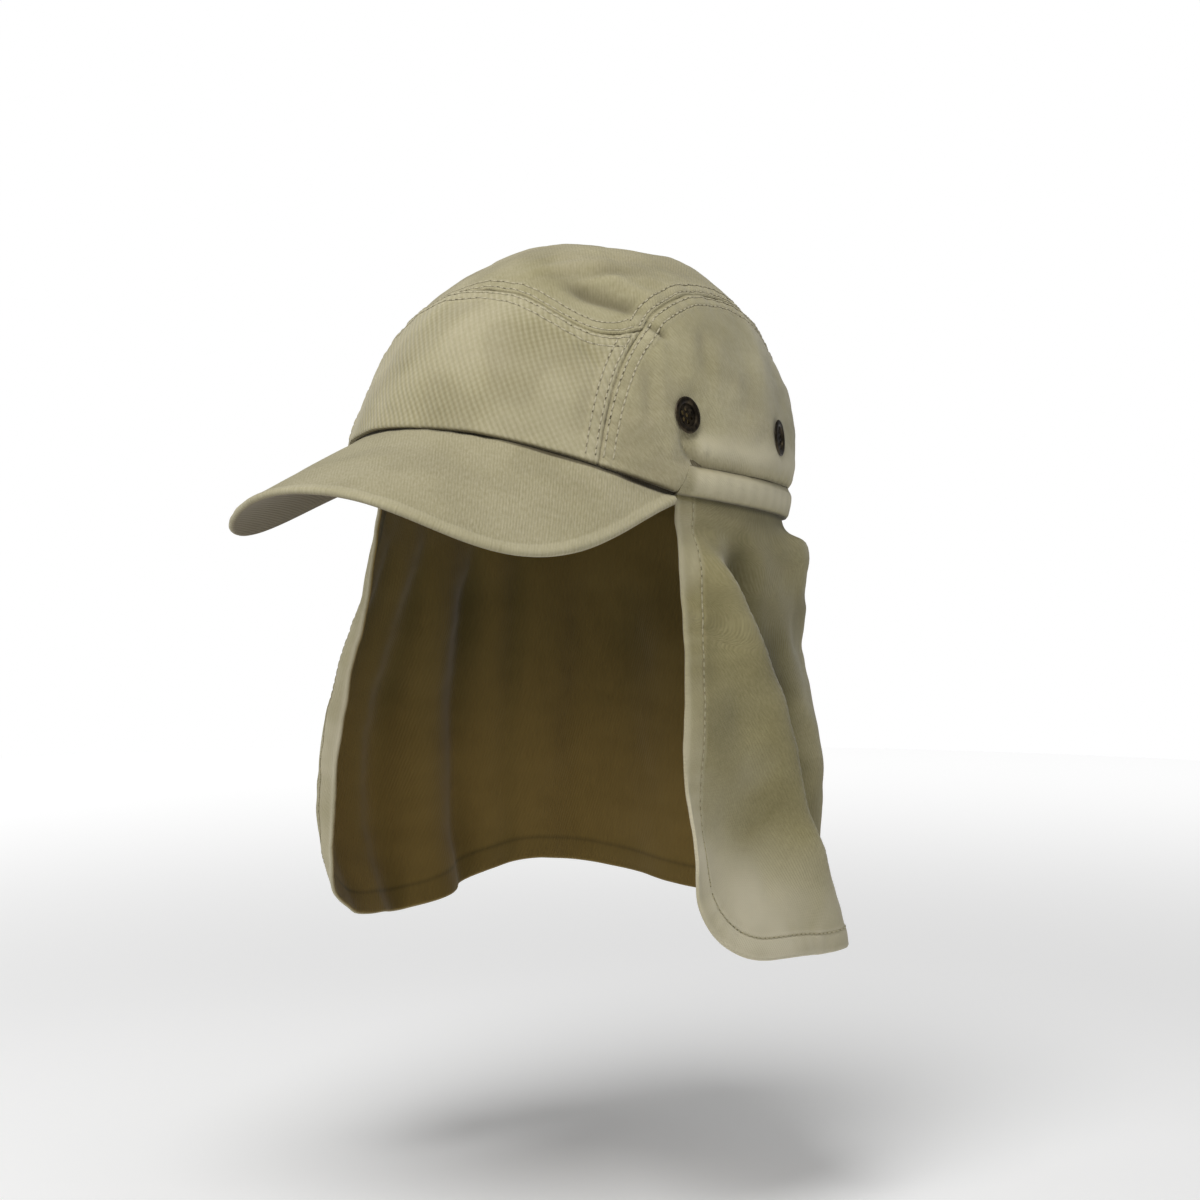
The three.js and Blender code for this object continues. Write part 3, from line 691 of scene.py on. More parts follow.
def stitchPiece(name, rows, material, seed):
    dice = np.random.default_rng(seed)
    sides, rings, pitch = stitching["sides"], stitching["rings"], stitching["pitch"]
    around = 2 * np.pi * np.arange(sides) / sides
    points, uvs = [], []
    for line, facing, place in rows:
        order = np.argsort(place, kind="stable")
        line, facing, place = line[order], facing[order], place[order]
        first, last = math.ceil(place[0] / pitch), math.floor(place[-1] / pitch)
        if last <= first:
            continue
        at = (np.arange(first, last) + 0.5) * pitch
        count = len(at)
        half = stitching["length"] / 2 * dice.uniform(*stitching["uneven"], count)
        back, middle, ahead = (
            np.stack([np.interp(at + k * half, place, line[:, c]) for c in range(3)], -1)
            for k in (-1, 0, 1))
        up = unit(np.stack([np.interp(at, place, facing[:, c]) for c in range(3)], -1))
        side = unit(np.cross(up, unit(ahead - back)))
        part = np.empty((count, len(rings), sides, 3))
        partUv = np.empty((count, len(rings), sides, 2))
        for r, (spot, wide, lift, _) in enumerate(rings):
            base = (back * max(-spot, 0) + middle * (1 - abs(spot)) + ahead * max(spot, 0)
                    + up * stitching["radius"] * lift)
            for s, a in enumerate(around):
                out = side * np.cos(a) + up * stitching["flatness"] * np.sin(a)
                part[:, r, s] = base + stitching["radius"] * wide * out
                partUv[:, r, s, 0] = at + spot * half
                partUv[:, r, s, 1] = stitching["twistTurns"] * s / sides
        points.append(part.reshape(-1, 3))
        uvs.append(partUv.reshape(-1, 2))
    points, uvs = np.concatenate(points) * 0.001, np.concatenate(uvs)
    block = len(rings) * sides
    stitches = np.arange(len(points) // block) * block
    s = np.arange(sides)
    tube = np.concatenate([np.stack([r * sides + s, r * sides + (s + 1) % sides,
                                     (r + 1) * sides + (s + 1) % sides, (r + 1) * sides + s], 1)
                           for r in range(len(rings) - 1)])
    ends = np.stack([s[::-1], (len(rings) - 1) * sides + s])
    faces = (tube[None] + stitches[:, None, None]).reshape(-1, 4).tolist()
    faces += (ends[None] + stitches[:, None, None]).reshape(-1, sides).tolist()
    mesh = bpy.data.meshes.new(name)
    mesh.from_pydata(points.tolist(), [], faces)
    mesh.update()
    loose = bmesh.new()
    loose.from_mesh(mesh)
    bmesh.ops.recalc_face_normals(loose, faces=loose.faces)
    loose.to_mesh(mesh)
    loose.free()
    layer = mesh.uv_layers.new(name="cloth")
    corners = np.empty(len(mesh.loops), dtype=np.int32)
    mesh.loops.foreach_get("vertex_index", corners)
    layer.data.foreach_set("uv", uvs[corners].astype(np.float32).ravel())
    # The needle holes are painted as shadow at the ends of each stitch; some holes have closed
    # again, so their painted shadow is weaker
    shadow = np.repeat([ring[3] for ring in rings], sides)[None]
    shadow = (shadow * dice.uniform(0.3, 1, (len(stitches), 1))).ravel()
    attribute = mesh.attributes.new("wearAndShading", "FLOAT", "POINT")
    attribute.data.foreach_set("value", shadow.astype(np.float32))
    mesh.materials.append(material)
    piece = bpy.data.objects.new(name, mesh)
    bpy.context.scene.collection.objects.link(piece)
    smoothed(piece, threadCrease)
    return piece


# Seams: the cloth rolls down into the seam, stands a little proud over the folded edges
# below, and dips under each row of stitches, with small puckers between

seam = {
    "roll": 0.6,
    "rollWidth": 0.8,
    "ply": 0.45,
    "plyEnd": 7.0,
    "plyFade": 1.8,
    "rows": (1.8, 5.8),
    "rowDip": 0.28,
    "rowWidth": 0.6,
    "pucker": 0.22,
    "puckerLength": 7.5,
    "puckerReach": 9,
    "wander": (2.4, 13, 0.35, 17),  # how far and how slowly the puckers shift and swell
    # tone and width of the painted shade in the groove, the pale rubbed fold beside it, the
    # cloth rubbed pale over the folded edges, the painted shade along the rows and the painted
    # light and shade of the puckers
    "grooveShade": (-0.36, 0.75),
    "paleFold": (0.22, 0.6),
    "paleFoldAt": 1.2,
    "rubbedPly": (0.1, 1.2),
    "rowShade": (-0.1, 0.5),
    "puckerShade": (0.1, 7),
}


def seamRise(away, place, seed):
    shift, shiftLength, swell, swellLength = seam["wander"]
    wobble = np.sin(2 * np.pi * place / seam["puckerLength"]
                    + shift * np.sin(place / shiftLength + seed) + seed)
    wobble *= 1 - swell + swell * np.sin(place / swellLength + 2 * seed)
    rise = -seam["roll"] * bell(away, seam["rollWidth"])
    rise += seam["ply"] * (1 - eased((away - seam["plyEnd"] + 0.8) / seam["plyFade"]))
    for row in seam["rows"]:
        rise -= seam["rowDip"] * bell(away - row, seam["rowWidth"])
    rise += seam["pucker"] * wobble * eased(away / 1.5) * bell(away, seam["puckerReach"])
    # Painted shade in the groove and along the rows, rubbed wear beside and over the folded edges,
    # painted light and shade on the puckers
    wearAndShading = mound(seam["grooveShade"], away) + mound(seam["paleFold"], away - seam["paleFoldAt"])
    tone, width = seam["rubbedPly"]
    wearAndShading += tone * (1 - eased((away - seam["plyEnd"]) / width)) * eased(away / 1.5)
    for row in seam["rows"]:
        wearAndShading += mound(seam["rowShade"], away - row)
    return rise, wearAndShading + wobble * mound(seam["puckerShade"], away)


# Soft creases of the crown: three places (angle round, angle up), rise, half width and the
# tone painted along each: painted shade below nought, painted light above
creases = [
    # on the front panel
    ((37.8, 31.2), (42.5, 25), (49, 22.6), -0.9, 2.2, -0.1),
    ((34, 31), (37, 25), (43, 19), 0.6, 3, 0),
    ((-30, 40.6), (-30, 30), (-36, 18), 0.5, 6, 0),
    ((-52, 30), (-46, 20), (-42, 8), -0.8, 7, 0),
    # over the top panel, from front to back
    ((4, 47.5), (15, 55.6), (39, 61), 0.8, 3.4, 0.05),
    ((10, 49), (33, 56.5), (66, 59.5), -1.1, 3.6, -0.2),
    ((24, 48.5), (46, 53.5), (76, 55), 0.9, 3.2, 0.05),
    ((6, 52), (9, 61), (24, 70), 0.6, 5, 0),
    ((20, 64), (52, 66), (100, 63), -0.8, 5, -0.1),
    ((-12, 54), (-30, 58), (-60, 60), -0.8, 6, 0),
    ((-5, 68), (30, 78), (120, 72), 0.7, 7, 0),
    # the deep fold that runs down into the corner, with the puffed cloth beyond it
    ((24, 50), (44.2, 47), (60.5, 39.2), -2.4, 4.2, -0.62),
    ((36, 50.5), (48, 49), (62, 42), -0.4, 5, -0.2),
    ((40, 54), (53.8, 51.5), (66, 45), 1.3, 3.2, 0.06),
    ((57.6, 37.6), (60.8, 36.1), (66.5, 33.8), -1.9, 1.9, -0.6),
    ((58, 33.5), (62, 32.4), (66, 31.6), 0.7, 2.4, 0.05),
    # on the side panel, from front to back
    ((57, 27), (56, 16.8), (57, 7), 0.6, 3.4, 0),
    ((59.2, 26), (60.8, 18.5), (60.5, 11), -0.6, 2.8, -0.05),
    ((63, 32), (64.5, 22.6), (63.5, 14), 0.6, 3.4, 0),
    ((79.8, 39.5), (76.5, 31), (78, 23), -0.7, 4.5, -0.06),
    ((84, 38), (82, 28), (82.5, 18), 0.6, 5, 0.03),
    ((99, 40), (94, 27), (90, 15), -0.7, 5.5, -0.05),
    ((108, 42), (104, 32), (101, 22), 0.6, 6, 0),
    ((118, 38), (117, 26), (112, 16), -0.6, 6, -0.05),
    ((132, 34), (134, 22), (130, 10), 0.6, 6, 0),
    # the rounded corner where the band begins
    ((70.6, 13), (69.6, 7.2), (80, 5.0), -1.6, 2.0, -0.06),
    ((67.5, 11), (66.9, 7), (69, 4.5), 0.5, 2.6, 0.04),
    ((74.8, 11), (75, 8.8), (80, 7.4), 0.9, 2.8, 0.05),
]


creaseEnd = {"share": 0.3, "least": 0.12}  # each end fades over this share, to this much


# Rise of the cloth in its creases, and the painted shade and light along them
def creaseField(p):
    rise, shade = np.zeros(p.shape[:-1]), np.zeros(p.shape[:-1])
    t = np.linspace(0, 1, 41)[:, None]
    for a, b, c, height, width, tone in creases:
        places = (1 - t) ** 2 * a + 2 * t * (1 - t) * np.array(b) + t ** 2 * np.array(c)
        line = shellPoint(places[:, 0], places[:, 1])
        full = lengthsAlong(line)[-1]
        near = np.linalg.norm(p - line[20], axis=-1) < full / 2 + 4 * width + 10
        away, place = nearestOn(p[near], line)
        end = creaseEnd["share"] * full
        fade = eased(place / end) * eased((full - place) / end)
        fade = creaseEnd["least"] + (1 - creaseEnd["least"]) * fade
        rise[near] += height * bell(away, width) * fade
        shade[near] += tone * bell(away, width) * fade
    return rise, shade


# The cloth under a front eyelet faces further back than the shell does
eyeletSeats = {
    "LeftFront": (71.5, 15.2),
    "LeftRear": (107.2, 14.5),
    "RightFront": (-71.5, 15.2),
    "RightRear": (-107.2, 14.5),
}
seatLean = {"angle": 9.5, "reach": 16}


def seatRise(p):
    rise = np.zeros(p.shape[:-1])
    for side, (turn, up) in eyeletSeats.items():
        if "Front" not in side:
            continue
        place = shellPoint(np.array(turn), np.array(up))
        ahead = shellPoint(np.array(turn + math.copysign(0.5, turn)), np.array(up))
        way = unit(ahead - place)
        off = p - place
        slope = math.tan(math.radians(seatLean["angle"]))
        rise -= slope * (off @ way) * np.exp(-(off ** 2).sum(-1) / seatLean["reach"] ** 2)
    return rise


def washedCloth(p, seed):
    return 0.4 * drift(p, 38, seed) + 0.15 * drift(p, 14, seed + 1) + 0.05 * drift(p, 6, seed + 2)


def turnAt(p):
    rise = np.maximum(p[..., 2], 0) / crown["height"]
    power = crown["ovalPower"] / 2
    return np.degrees(np.arctan2(
        signedPower(np.abs(p[..., 0]) / crown["halfWidth"], power),
        -signedPower((p[..., 1] - crown["topSetBack"] * rise) / crown["halfLength"], power)))


# The elastic casing round the back. Its swell runs on into the front corner of the side panels
casing = {
    "step": 1.0,
    "rows": 18,
    "setBack": 0.04,
    "swell": 2.0,
    "swellTop": 12.8,
    "swellPower": 0.8,
    "swellFrom": (61, 11),  # angle round where it begins, and over how much more it grows
    "swellSinks": (90, 30),  # and where most of it goes again
    "swellLost": 0.75,
    "gather": 0.12,
    "gatherBack": 0.9,
    "gatherLength": 8.5,
    "gathersGrow": (100, 60),
    # how far behind the shell and above the band each row of the hidden seam allowance lies
    "tuck": [(2.2, 0.4), (2.6, 3.4)],
    "tuckPly": 1.2,
    # Tones: paler and darker over the gathers as painted light and shade, paler on the swell as rubbed
    # wear and painted light, painted shade along the top and the bottom edge, and the hidden seam
    # allowance painted dark as shade
    "shade": {"gathers": 0.12, "rubbedAndLit": 0.95, "top": 0.3, "bottom": 0.7, "tuck": -0.8},
}


def bandSwell(p):
    low = np.sin(np.pi * np.clip(p[..., 2] / casing["swellTop"], 0, 1)) ** casing["swellPower"]
    turn = turnAt(p)
    begins, growsOver = casing["swellFrom"]
    sinks, sinksOver = casing["swellSinks"]
    swell = casing["swell"] * low * eased((turn - begins) / growsOver)
    return swell * (1 - casing["swellLost"] * eased((turn - sinks) / sinksOver))


def clothRise(p, seed):
    return relief(p) + creaseField(p)[0] + seatRise(p) + washedCloth(p, seed)


# Crown panels: each is stretched between its seams and pushed out onto the shell

panelMesh = {"fine": 0.55, "coarse": 1.25, "border": 8.5}


def panelGrid(low, high, start, end, size):
    us = graded(size[0], panelMesh["fine"], panelMesh["coarse"], panelMesh["border"])
    vs = graded(size[1], panelMesh["fine"], panelMesh["coarse"], panelMesh["border"])
    u, v = us[:, None, None], vs[None, :, None]
    ends = np.array([0.0, 1.0])
    lowEnds, highEnds = low(ends), high(ends)
    p = (low(us)[:, None] * (1 - v) + high(us)[:, None] * v
         + start(vs)[None] * (1 - u) + end(vs)[None] * u
         - lowEnds[0] * (1 - u) * (1 - v) - lowEnds[1] * u * (1 - v)
         - highEnds[0] * (1 - u) * v - highEnds[1] * u * v)
    return ontoShell(p), us


seamSteps = np.linspace(0, 1, 400)
sideSeed = {"left": 8, "right": 11}
rowClearance = 1.0  # a row of stitches stops this far from the next seam
crownRows = []


# The rolled edge over the peak: it stands a little proud, and the gap below it is widest
# towards the wearer's left. The gap is painted dark as shade
rolledEdge = {
    "leastGap": 0.4,
    "gapGrows": (-25, 75),  # angle round where the gap begins to grow, and over how much
    "proud": (0.4, 3),
    "dip": (-0.9, 0.5),
    "gapShade": -0.85,
    "gapShadeWidth": (0.25, 0.35),
}
# The panels puff out over the band, with a soft furrow and small puckers along its top. The
# furrow is painted dark as shade, the puckers get painted light and shade, and the puff is
# painted pale, partly as rubbed wear and partly as painted light
furrow = {
    "dip": (-1.5, 2.4),
    "puff": (1.0, 6),
    "puffAt": 9,
    "pucker": (0.35, 5),
    "puckerLength": 6.5,
    "wander": (2.2, 11, 0.4, 19),
    "grooveShade": (-0.34, 1.1),
    "puckerShade": (0.1, 5),
    "rubbedAndLit": (0.9, 6),
    "rubbedAndLitAt": 8,
}


def gapOverPeak(turn):
    begins, growsOver = rolledEdge["gapGrows"]
    return rolledEdge["leastGap"] + (1 - rolledEdge["leastGap"]) * eased((turn - begins) / growsOver)


def edgeOverPeak(away, turn):
    gap = gapOverPeak(turn)
    narrow, widening = rolledEdge["gapShadeWidth"]
    rise = mound(rolledEdge["proud"], away) + gap * mound(rolledEdge["dip"], away)
    # Painted shade in the gap
    return rise, rolledEdge["gapShade"] * gap * bell(away, narrow + widening * gap)


def edgeOverBand(away, place):
    shift, shiftLength, swell, swellLength = furrow["wander"]
    wobble = np.sin(2 * np.pi * place / furrow["puckerLength"] + shift * np.sin(place / shiftLength))
    wobble *= 1 - swell + swell * np.sin(place / swellLength)
    rise = mound(furrow["dip"], away) + mound(furrow["puff"], away - furrow["puffAt"])
    rise += wobble * mound(furrow["pucker"], away) * eased(away / 1.2)
    # Painted shade in the furrow, painted light and shade on the puckers, and the pale puff: rubbed
    # wear and painted light
    worn = mound(furrow["grooveShade"], away) + wobble * mound(furrow["puckerShade"], away)
    return rise, worn + mound(furrow["rubbedAndLit"], away - furrow["rubbedAndLitAt"])


# borders says what each border of the panel is: a sewn seam, or an edge over peak or band
def crownPanel(name, node, material, low, high, start, end, size, borders, seed):
    shell, us = panelGrid(low, high, start, end, size)
    normals = shellNormal(shell)
    surfaceRise = clothRise(shell, seed)
    rise = surfaceRise.copy()
    # Random tone, the painted shade and light of the creases, and below the tones of the seams and
    # edges, painted light and shade among them
    wearAndShading = 0.1 * np.clip(drift(shell, 30, seed + 20), -1, 1) + creaseField(shell)[1]
    sides = {
        "low": low(seamSteps), "high": high(seamSteps),
        "start": start(seamSteps), "end": end(seamSteps),
    }
    fields = {}
    for border, kind in borders.items():
        away, place = nearestOn(shell, sides[border])
        fields[border] = away, place
        if kind == "seam":
            more, worn = seamRise(away, place, seed + len(border))
        elif kind == "peak":
            more, worn = edgeOverPeak(away, (2 * us[:, None] - 1) * frontSeamAngle)
        elif kind == "band":
            more, worn = edgeOverBand(away, place)
        else:
            turn = sideRim(us)[:, None]
            hand = np.sign(shell[len(us) // 2, 0, 0])
            overPeak, overBand = edgeOverPeak(away, hand * turn), edgeOverBand(away, place)
            peakShare = 1 - eased((turn - 70) / 1.5)
            bandShare = eased((turn - band["rampEnd"]) / 4)
            rise += bandSwell(shell) * (1 - eased((turnAt(shell) - band["rampEnd"]) / 2.5))
            more = overPeak[0] * peakShare + overBand[0] * bandShare
            worn = overPeak[1] * peakShare + overBand[1] * bandShare
        rise += more
        wearAndShading += worn
    outer = shell + normals * rise[..., None]
    inner = shell + normals * (surfaceRise - crown["wall"])[..., None]
    facing = gridNormals(outer, normals)
    flat = laidFlat(shell, normals)
    for border, kind in borders.items():
        if kind != "seam":
            continue
        for value in seam["rows"]:
            line, up, place = rowAt(outer, facing, *fields[border], border, value)
            clear = np.ones(len(line), bool)
            for other in borders:
                if other != border:
                    clear &= nearestOn(line, sides[other])[0] > rowClearance
            if clear.sum() > 3:
                crownRows.append((levelled(line[clear]), levelled(up[clear]), place[clear]))
    piece = clothPiece(name, levelled(outer), levelled(inner), flat, wearAndShading, materials[material],
                       rimRings=1, bulge=0.2)
    print(name, "made,", len(piece.data.polygons), "faces")
    return seated(piece, "crown_twill", node)


def sideRim(u):
    return np.interp(u, [0, 5 / 22, 6 / 22, 1],
                     [frontSeamAngle, band["rampStart"], band["rampEnd"], backSeamAngle])


frontPanelCloth = crownPanel(
    "frontPanelCloth", "front_panel", "frontTwill",
    low=lambda u: lowerEdge((2 * u - 1) * frontSeamAngle),
    high=lambda u: frontTop(2 * u - 1),
    start=lambda v: mirrored(frontSideSeam(v)),
    end=frontSideSeam,
    size=(135, 62), borders={"low": "peak", "high": "seam", "start": "seam", "end": "seam"}, seed=3)
topPanelCloth = crownPanel(
    "topPanelCloth", "top_panel", "crownTwill",
    low=lambda u: frontTop(2 * u - 1),
    high=lambda u: lowerEdge(180 + (2 * u - 1) * (backSeamAngle - 180)),
    start=lambda v: mirrored(topSide(v)),
    end=topSide,
    size=(120, 190), borders={"low": "seam", "high": "band", "start": "seam", "end": "seam"}, seed=5)
leftSideCloth = crownPanel(
    "leftSideCloth", "side_panel_left", "crownTwill",
    low=lambda u: lowerEdge(sideRim(u)),
    high=topSide,
    start=frontSideSeam,
    end=lambda v: np.broadcast_to(lowerEdge(np.array(backSeamAngle)), (len(v), 3)),
    size=(165, 66), borders={"low": "peakThenBand", "high": "seam", "start": "seam"},
    seed=sideSeed["left"])
rightSideCloth = crownPanel(
    "rightSideCloth", "side_panel_right", "crownTwill",
    low=lambda u: mirrored(lowerEdge(sideRim(u))),
    high=lambda u: mirrored(topSide(u)),
    start=lambda v: mirrored(frontSideSeam(v)),
    end=lambda v: np.broadcast_to(mirrored(lowerEdge(np.array(backSeamAngle))), (len(v), 3)),
    size=(165, 66), borders={"low": "peakThenBand", "high": "seam", "start": "seam"},
    seed=sideSeed["right"])
crownTopstitching = stitchPiece("crownTopstitching", crownRows, materials["crownThread"], 31)
seated(crownTopstitching, "crown_twill")
print("crown sewn,", len(crownTopstitching.data.polygons), "faces of stitches")

# Elastic casing round the back: gathered softly, most at the back of the head

def bandCasingPiece():
    rampTop = band["rampEnd"] + casing["setBack"]
    ramp = np.linspace(band["rampStart"] + casing["setBack"] + 0.6, rampTop, 9)
    middle = np.linspace(rampTop, 360 - rampTop, int(340 / casing["step"]))
    turn = np.concatenate([ramp[:-1], middle, 360 - ramp[-2::-1]])
    v = np.linspace(0, 1, casing["rows"] + 1)
    top = bandTop(np.minimum(turn, 360 - turn) - casing["setBack"])
    bare = shellAtHeight(turn[:, None], top[:, None] * v[None])
    normals = shellNormal(bare)
    along = lengthsAlong(bare[:, 0])[:, None]
    fromFront = np.minimum(turn, 360 - turn)[:, None]
    begun = eased((fromFront - band["rampEnd"]) / 4)
    begins, growsOver = casing["gathersGrow"]
    backness = eased((fromFront - begins) / growsOver)
    wobble = np.sin(2 * np.pi * along / casing["gatherLength"]
                    + 2.6 * np.sin(along / 21) + 0.7 * v[None])
    wobble *= 0.7 + 0.3 * np.sin(along / 26)
    gather = (casing["gather"] + (casing["gatherBack"] - casing["gather"]) * backness) * wobble
    below = (1 - v)[None] * top[:, None]
    above = v[None] * top[:, None]
    full = np.sin(np.pi * v[None]) ** casing["swellPower"]
    cloth = np.where(turn[:, None] < 180, clothRise(bare, sideSeed["left"]),
                     clothRise(bare, sideSeed["right"]))
    rise = cloth * (1 - 0.75 * eased((fromFront - band["rampEnd"]) / 14)) + bandSwell(bare)
    rise += begun * (0.8 * gather * full - 1.3 * bell(below, 1.7))
    rise -= 0.6 * bell(above, 0.8)
    outer = bare + normals * rise[..., None]
    inner = bare - normals * band["thickness"]
    shade = casing["shade"]
    # Painted light and shade of the gathers, rubbed wear and painted light on the swell, painted shade
    # at the edges
    wearAndShading = shade["gathers"] * wobble * full + shade["rubbedAndLit"] * full - shade["top"] * bell(below, 1.0)
    wearAndShading = wearAndShading * begun - shade["bottom"] * bell(above, 0.6)
    flat = laidFlat(bare, normals)
    # Seam allowance that goes up behind the panels and closes the gap; it is painted dark as shade
    sunk, lifted = np.array(casing["tuck"]).T[:, None, :, None]
    turnUp = shellAtHeight(turn[:, None], top[:, None] + lifted[..., 0])
    facing = shellNormal(turnUp)
    outer = np.concatenate([outer, turnUp - facing * sunk], 1)
    inner = np.concatenate([inner, turnUp - facing * (sunk + casing["tuckPly"])], 1)
    wearAndShading = np.concatenate([wearAndShading, np.full((len(turn), 2), shade["tuck"])], 1)
    flat = np.concatenate([flat, flat[:, -1:] + (0, 2), flat[:, -1:] + (0, 5)], 1)
    piece = clothPiece("bandCasing", levelled(outer), levelled(inner), flat, wearAndShading,
                       materials["crownTwill"], rimRings=1, bulge=0.1)
    return seated(piece, "crown_twill", "back_band")


bandCasing = bandCasingPiece()
print("band casing made,", len(bandCasing.data.polygons), "faces")

# Stiff peak: twill over a shaped core, turned over a rounded edge

peakMesh = {
    "step": 1.3,
    "rim": 7,
    "fold": 3.2,
    # how far behind the crown's wall and above its edge each row of the seam allowance lies
    "tuck": [(1.2, 3.0), (0.7, 0.6)],
    "tuckPly": 1.2,
    # the seam allowance is painted dark as shade
    "tuckShade": -0.9,
    # paler along the folded edge, random tone, and painted shade in the gap under the crown's edge
    "shade": {"fold": 0.3, "worn": 0.08, "gap": 0.9},
}


def peakEdge(turn):
    x, y = rimPlan(peak["endAngle"])
    s, c = np.sin(np.radians(turn)), np.cos(np.radians(turn))
    return np.stack([
        x * signedPower(s, 2 / peak["squareness"]) + peak["sideBulge"] * np.sin(np.radians(2 * turn)),
        y - peak["reach"] * np.abs(c) ** (2 / peak["squareness"]),
        -c * (peak["frontDrop"] + peak["sideDrop"] * s * s),
    ], -1)


def peakRoot(turn):
    angle = turn / 90 * peak["endAngle"]
    p = shellAtHeight(angle, peakSeamHeight(angle))
    inwards = shellNormal(p) * (1, 1, 0)
    return p - unit(inwards) * crown["wall"]


def peakPiece():
    reach = 90 - peak["endTrim"]
    turn = reach * (2 * graded(300, 0.7, peakMesh["step"], 14) - 1)
    v = graded(75, 0.5, peakMesh["step"], 7)
    root, edge = peakRoot(turn)[:, None], peakEdge(turn)[:, None]
    top = root + (edge - root) * v[None, :, None]
    normals = gridNormals(top, np.array([0, 0, 1.0]))
    away = nearestOn(top, peakEdge(np.linspace(-reach, reach, 600)))[0]
    toRoot = nearestOn(top, peakRoot(np.linspace(-reach, reach, 600)))[0]
    rise = 0.22 * drift(top, 40, 51) + 0.06 * drift(top, 12, 52)
    rise += 0.22 * (1 - eased((away - peakMesh["fold"] + 0.7) / 1.4))
    rise -= 0.3 * bell(toRoot, 2.2)
    shade = peakMesh["shade"]
    wearAndShading = shade["fold"] * (1 - eased((away - peakMesh["fold"] + 0.8) / 1.2)) * eased((away + 1) / 1.5)
    angle = turn / 90 * peak["endAngle"]
    wearAndShading += shade["worn"] * np.clip(drift(top, 25, 53), -1, 1)
    # Painted shade in the gap under the crown's edge
    wearAndShading -= shade["gap"] * gapOverPeak(angle)[:, None] * (1 - eased((toRoot - 1.7) / 0.9))
    outer = top + normals * rise[..., None]
    inner = top - normals * peak["thickness"]
    flat = laidFlat(top, normals)
    # Seam allowance that stands up behind the crown's edge and closes the gap; it is painted dark
    # as shade
    tucks = []
    for inwards, upwards in peakMesh["tuck"]:
        p = shellAtHeight(angle, peakSeamHeight(angle) + upwards)
        tucks.append(p - unit(shellNormal(p) * (1, 1, 0)) * (crown["wall"] + inwards))
    tuck = np.stack(tucks, 1)
    outer = np.concatenate([tuck, outer], 1)
    inner = np.concatenate([tuck - unit(shellNormal(tuck)) * peakMesh["tuckPly"], inner], 1)
    wearAndShading = np.concatenate([np.full((len(turn), 2), peakMesh["tuckShade"]), wearAndShading], 1)
    flat = np.concatenate([flat[:, :1] - (0, 4), flat[:, :1] - (0, 1.2), flat], 1)
    piece = clothPiece("peakCover", levelled(outer), levelled(inner), flat, wearAndShading,
                       materials["peakTwill"], rimRings=peakMesh["rim"])
    return seated(piece, "peak_twill", "peak")


peakCover = peakPiece()
print("peak made,", len(peakCover.data.polygons), "faces")

# Neck flap, in the level frame: one sheet that hangs from the band, hemmed all round

flap = {
    "startAngle": 73,
    "thickness": 1.5,
    "tuck": 6,
    "cornerRadius": 34,
    "bowPower": 1.7,
    "meanRadius": 95,
    "fine": 0.6,
    "coarse": 1.7,
    "border": 10,
    "hem": 8.8,
    "hemRow": 8.0,
    "cornerColumns": 9,
    "tuckRows": (-1, -0.66, -0.33),
    "edgeRowsEnd": -156,  # the rows down the front edges stop here
    "hemRowFrom": -150,  # and the row along the hem keeps below this
}
# Height of the hem's ply, how its puckers wander and how deep its row of stitches sinks
hemRelief = {"ply": 0.3, "plyFade": 1.8, "row": (-0.28, 0.7), "pucker": (0.1, 7), "puckerAt": 6}
# Tones and widths: rubbed edge, paler hem, painted light and shade of the puckers, washed
# patches, painted shade along the row of stitches and painted shade behind the band
flapTones = {
    "edge": (0.3, 1.2),
    "hem": (0.3, 1.4),
    "pucker": (0.05, 7),
    "washed": 0.1,
    "row": (-0.16, 0.7),
    "behindBand": (-0.7, 0.014),
    # on the inside, painted shade: darker towards the band, in the hem and on the folds
    "upperInside": (-0.5, 0.25, 0.6),
    "hemInside": (-0.35, 0.9),
    "plyInside": -0.12,
    "foldInside": -0.07,
}
# Angle round, flare, bow, backward shift, hem height
flapSections = [
    (73, 6, 7, 0, -180),
    (95, 13, 2, 1, -184),
    (130, 18, 6, 4, -189),
    (180, 20, 2, 0, -183),
    (228, 20, 4, -2, -170),
    (240, 21, 7, -3, -174),
    (250, 22, 12, -3, -181),
    (264, 24, 21, -3, -187),
    (287, 23, 27, -3, -189),
]
# Angle at the band and at the hem, rise, half width, from and to shares of the height, fade
flapFolds = [
    (77, 122, 7, 8, 0.02, 1.3, 0.25),
    (90, 138, -7, 8, 0.08, 1.1, 0.25),
    (90, 100, -5, 9, 0.02, 0.28, 0.2),
    (120, 168, 9, 14, 0, 0.32, 0.12),
    (120, 128, 4, 14, 0.75, 1.6, 0.25),
    (168, 160, 6, 14, 0.05, 1.5, 0.25),
    (190, 196, -6, 12, 0.1, 1.5, 0.25),
    (212, 222, 5, 12, 0.1, 1.5, 0.25),
    (252, 246, 5, 8, 0.05, 1.5, 0.25),
    (262, 257, -5, 7, 0.1, 1.5, 0.25),
    (270, 266, 4, 7, 0.1, 1.5, 0.25),
]
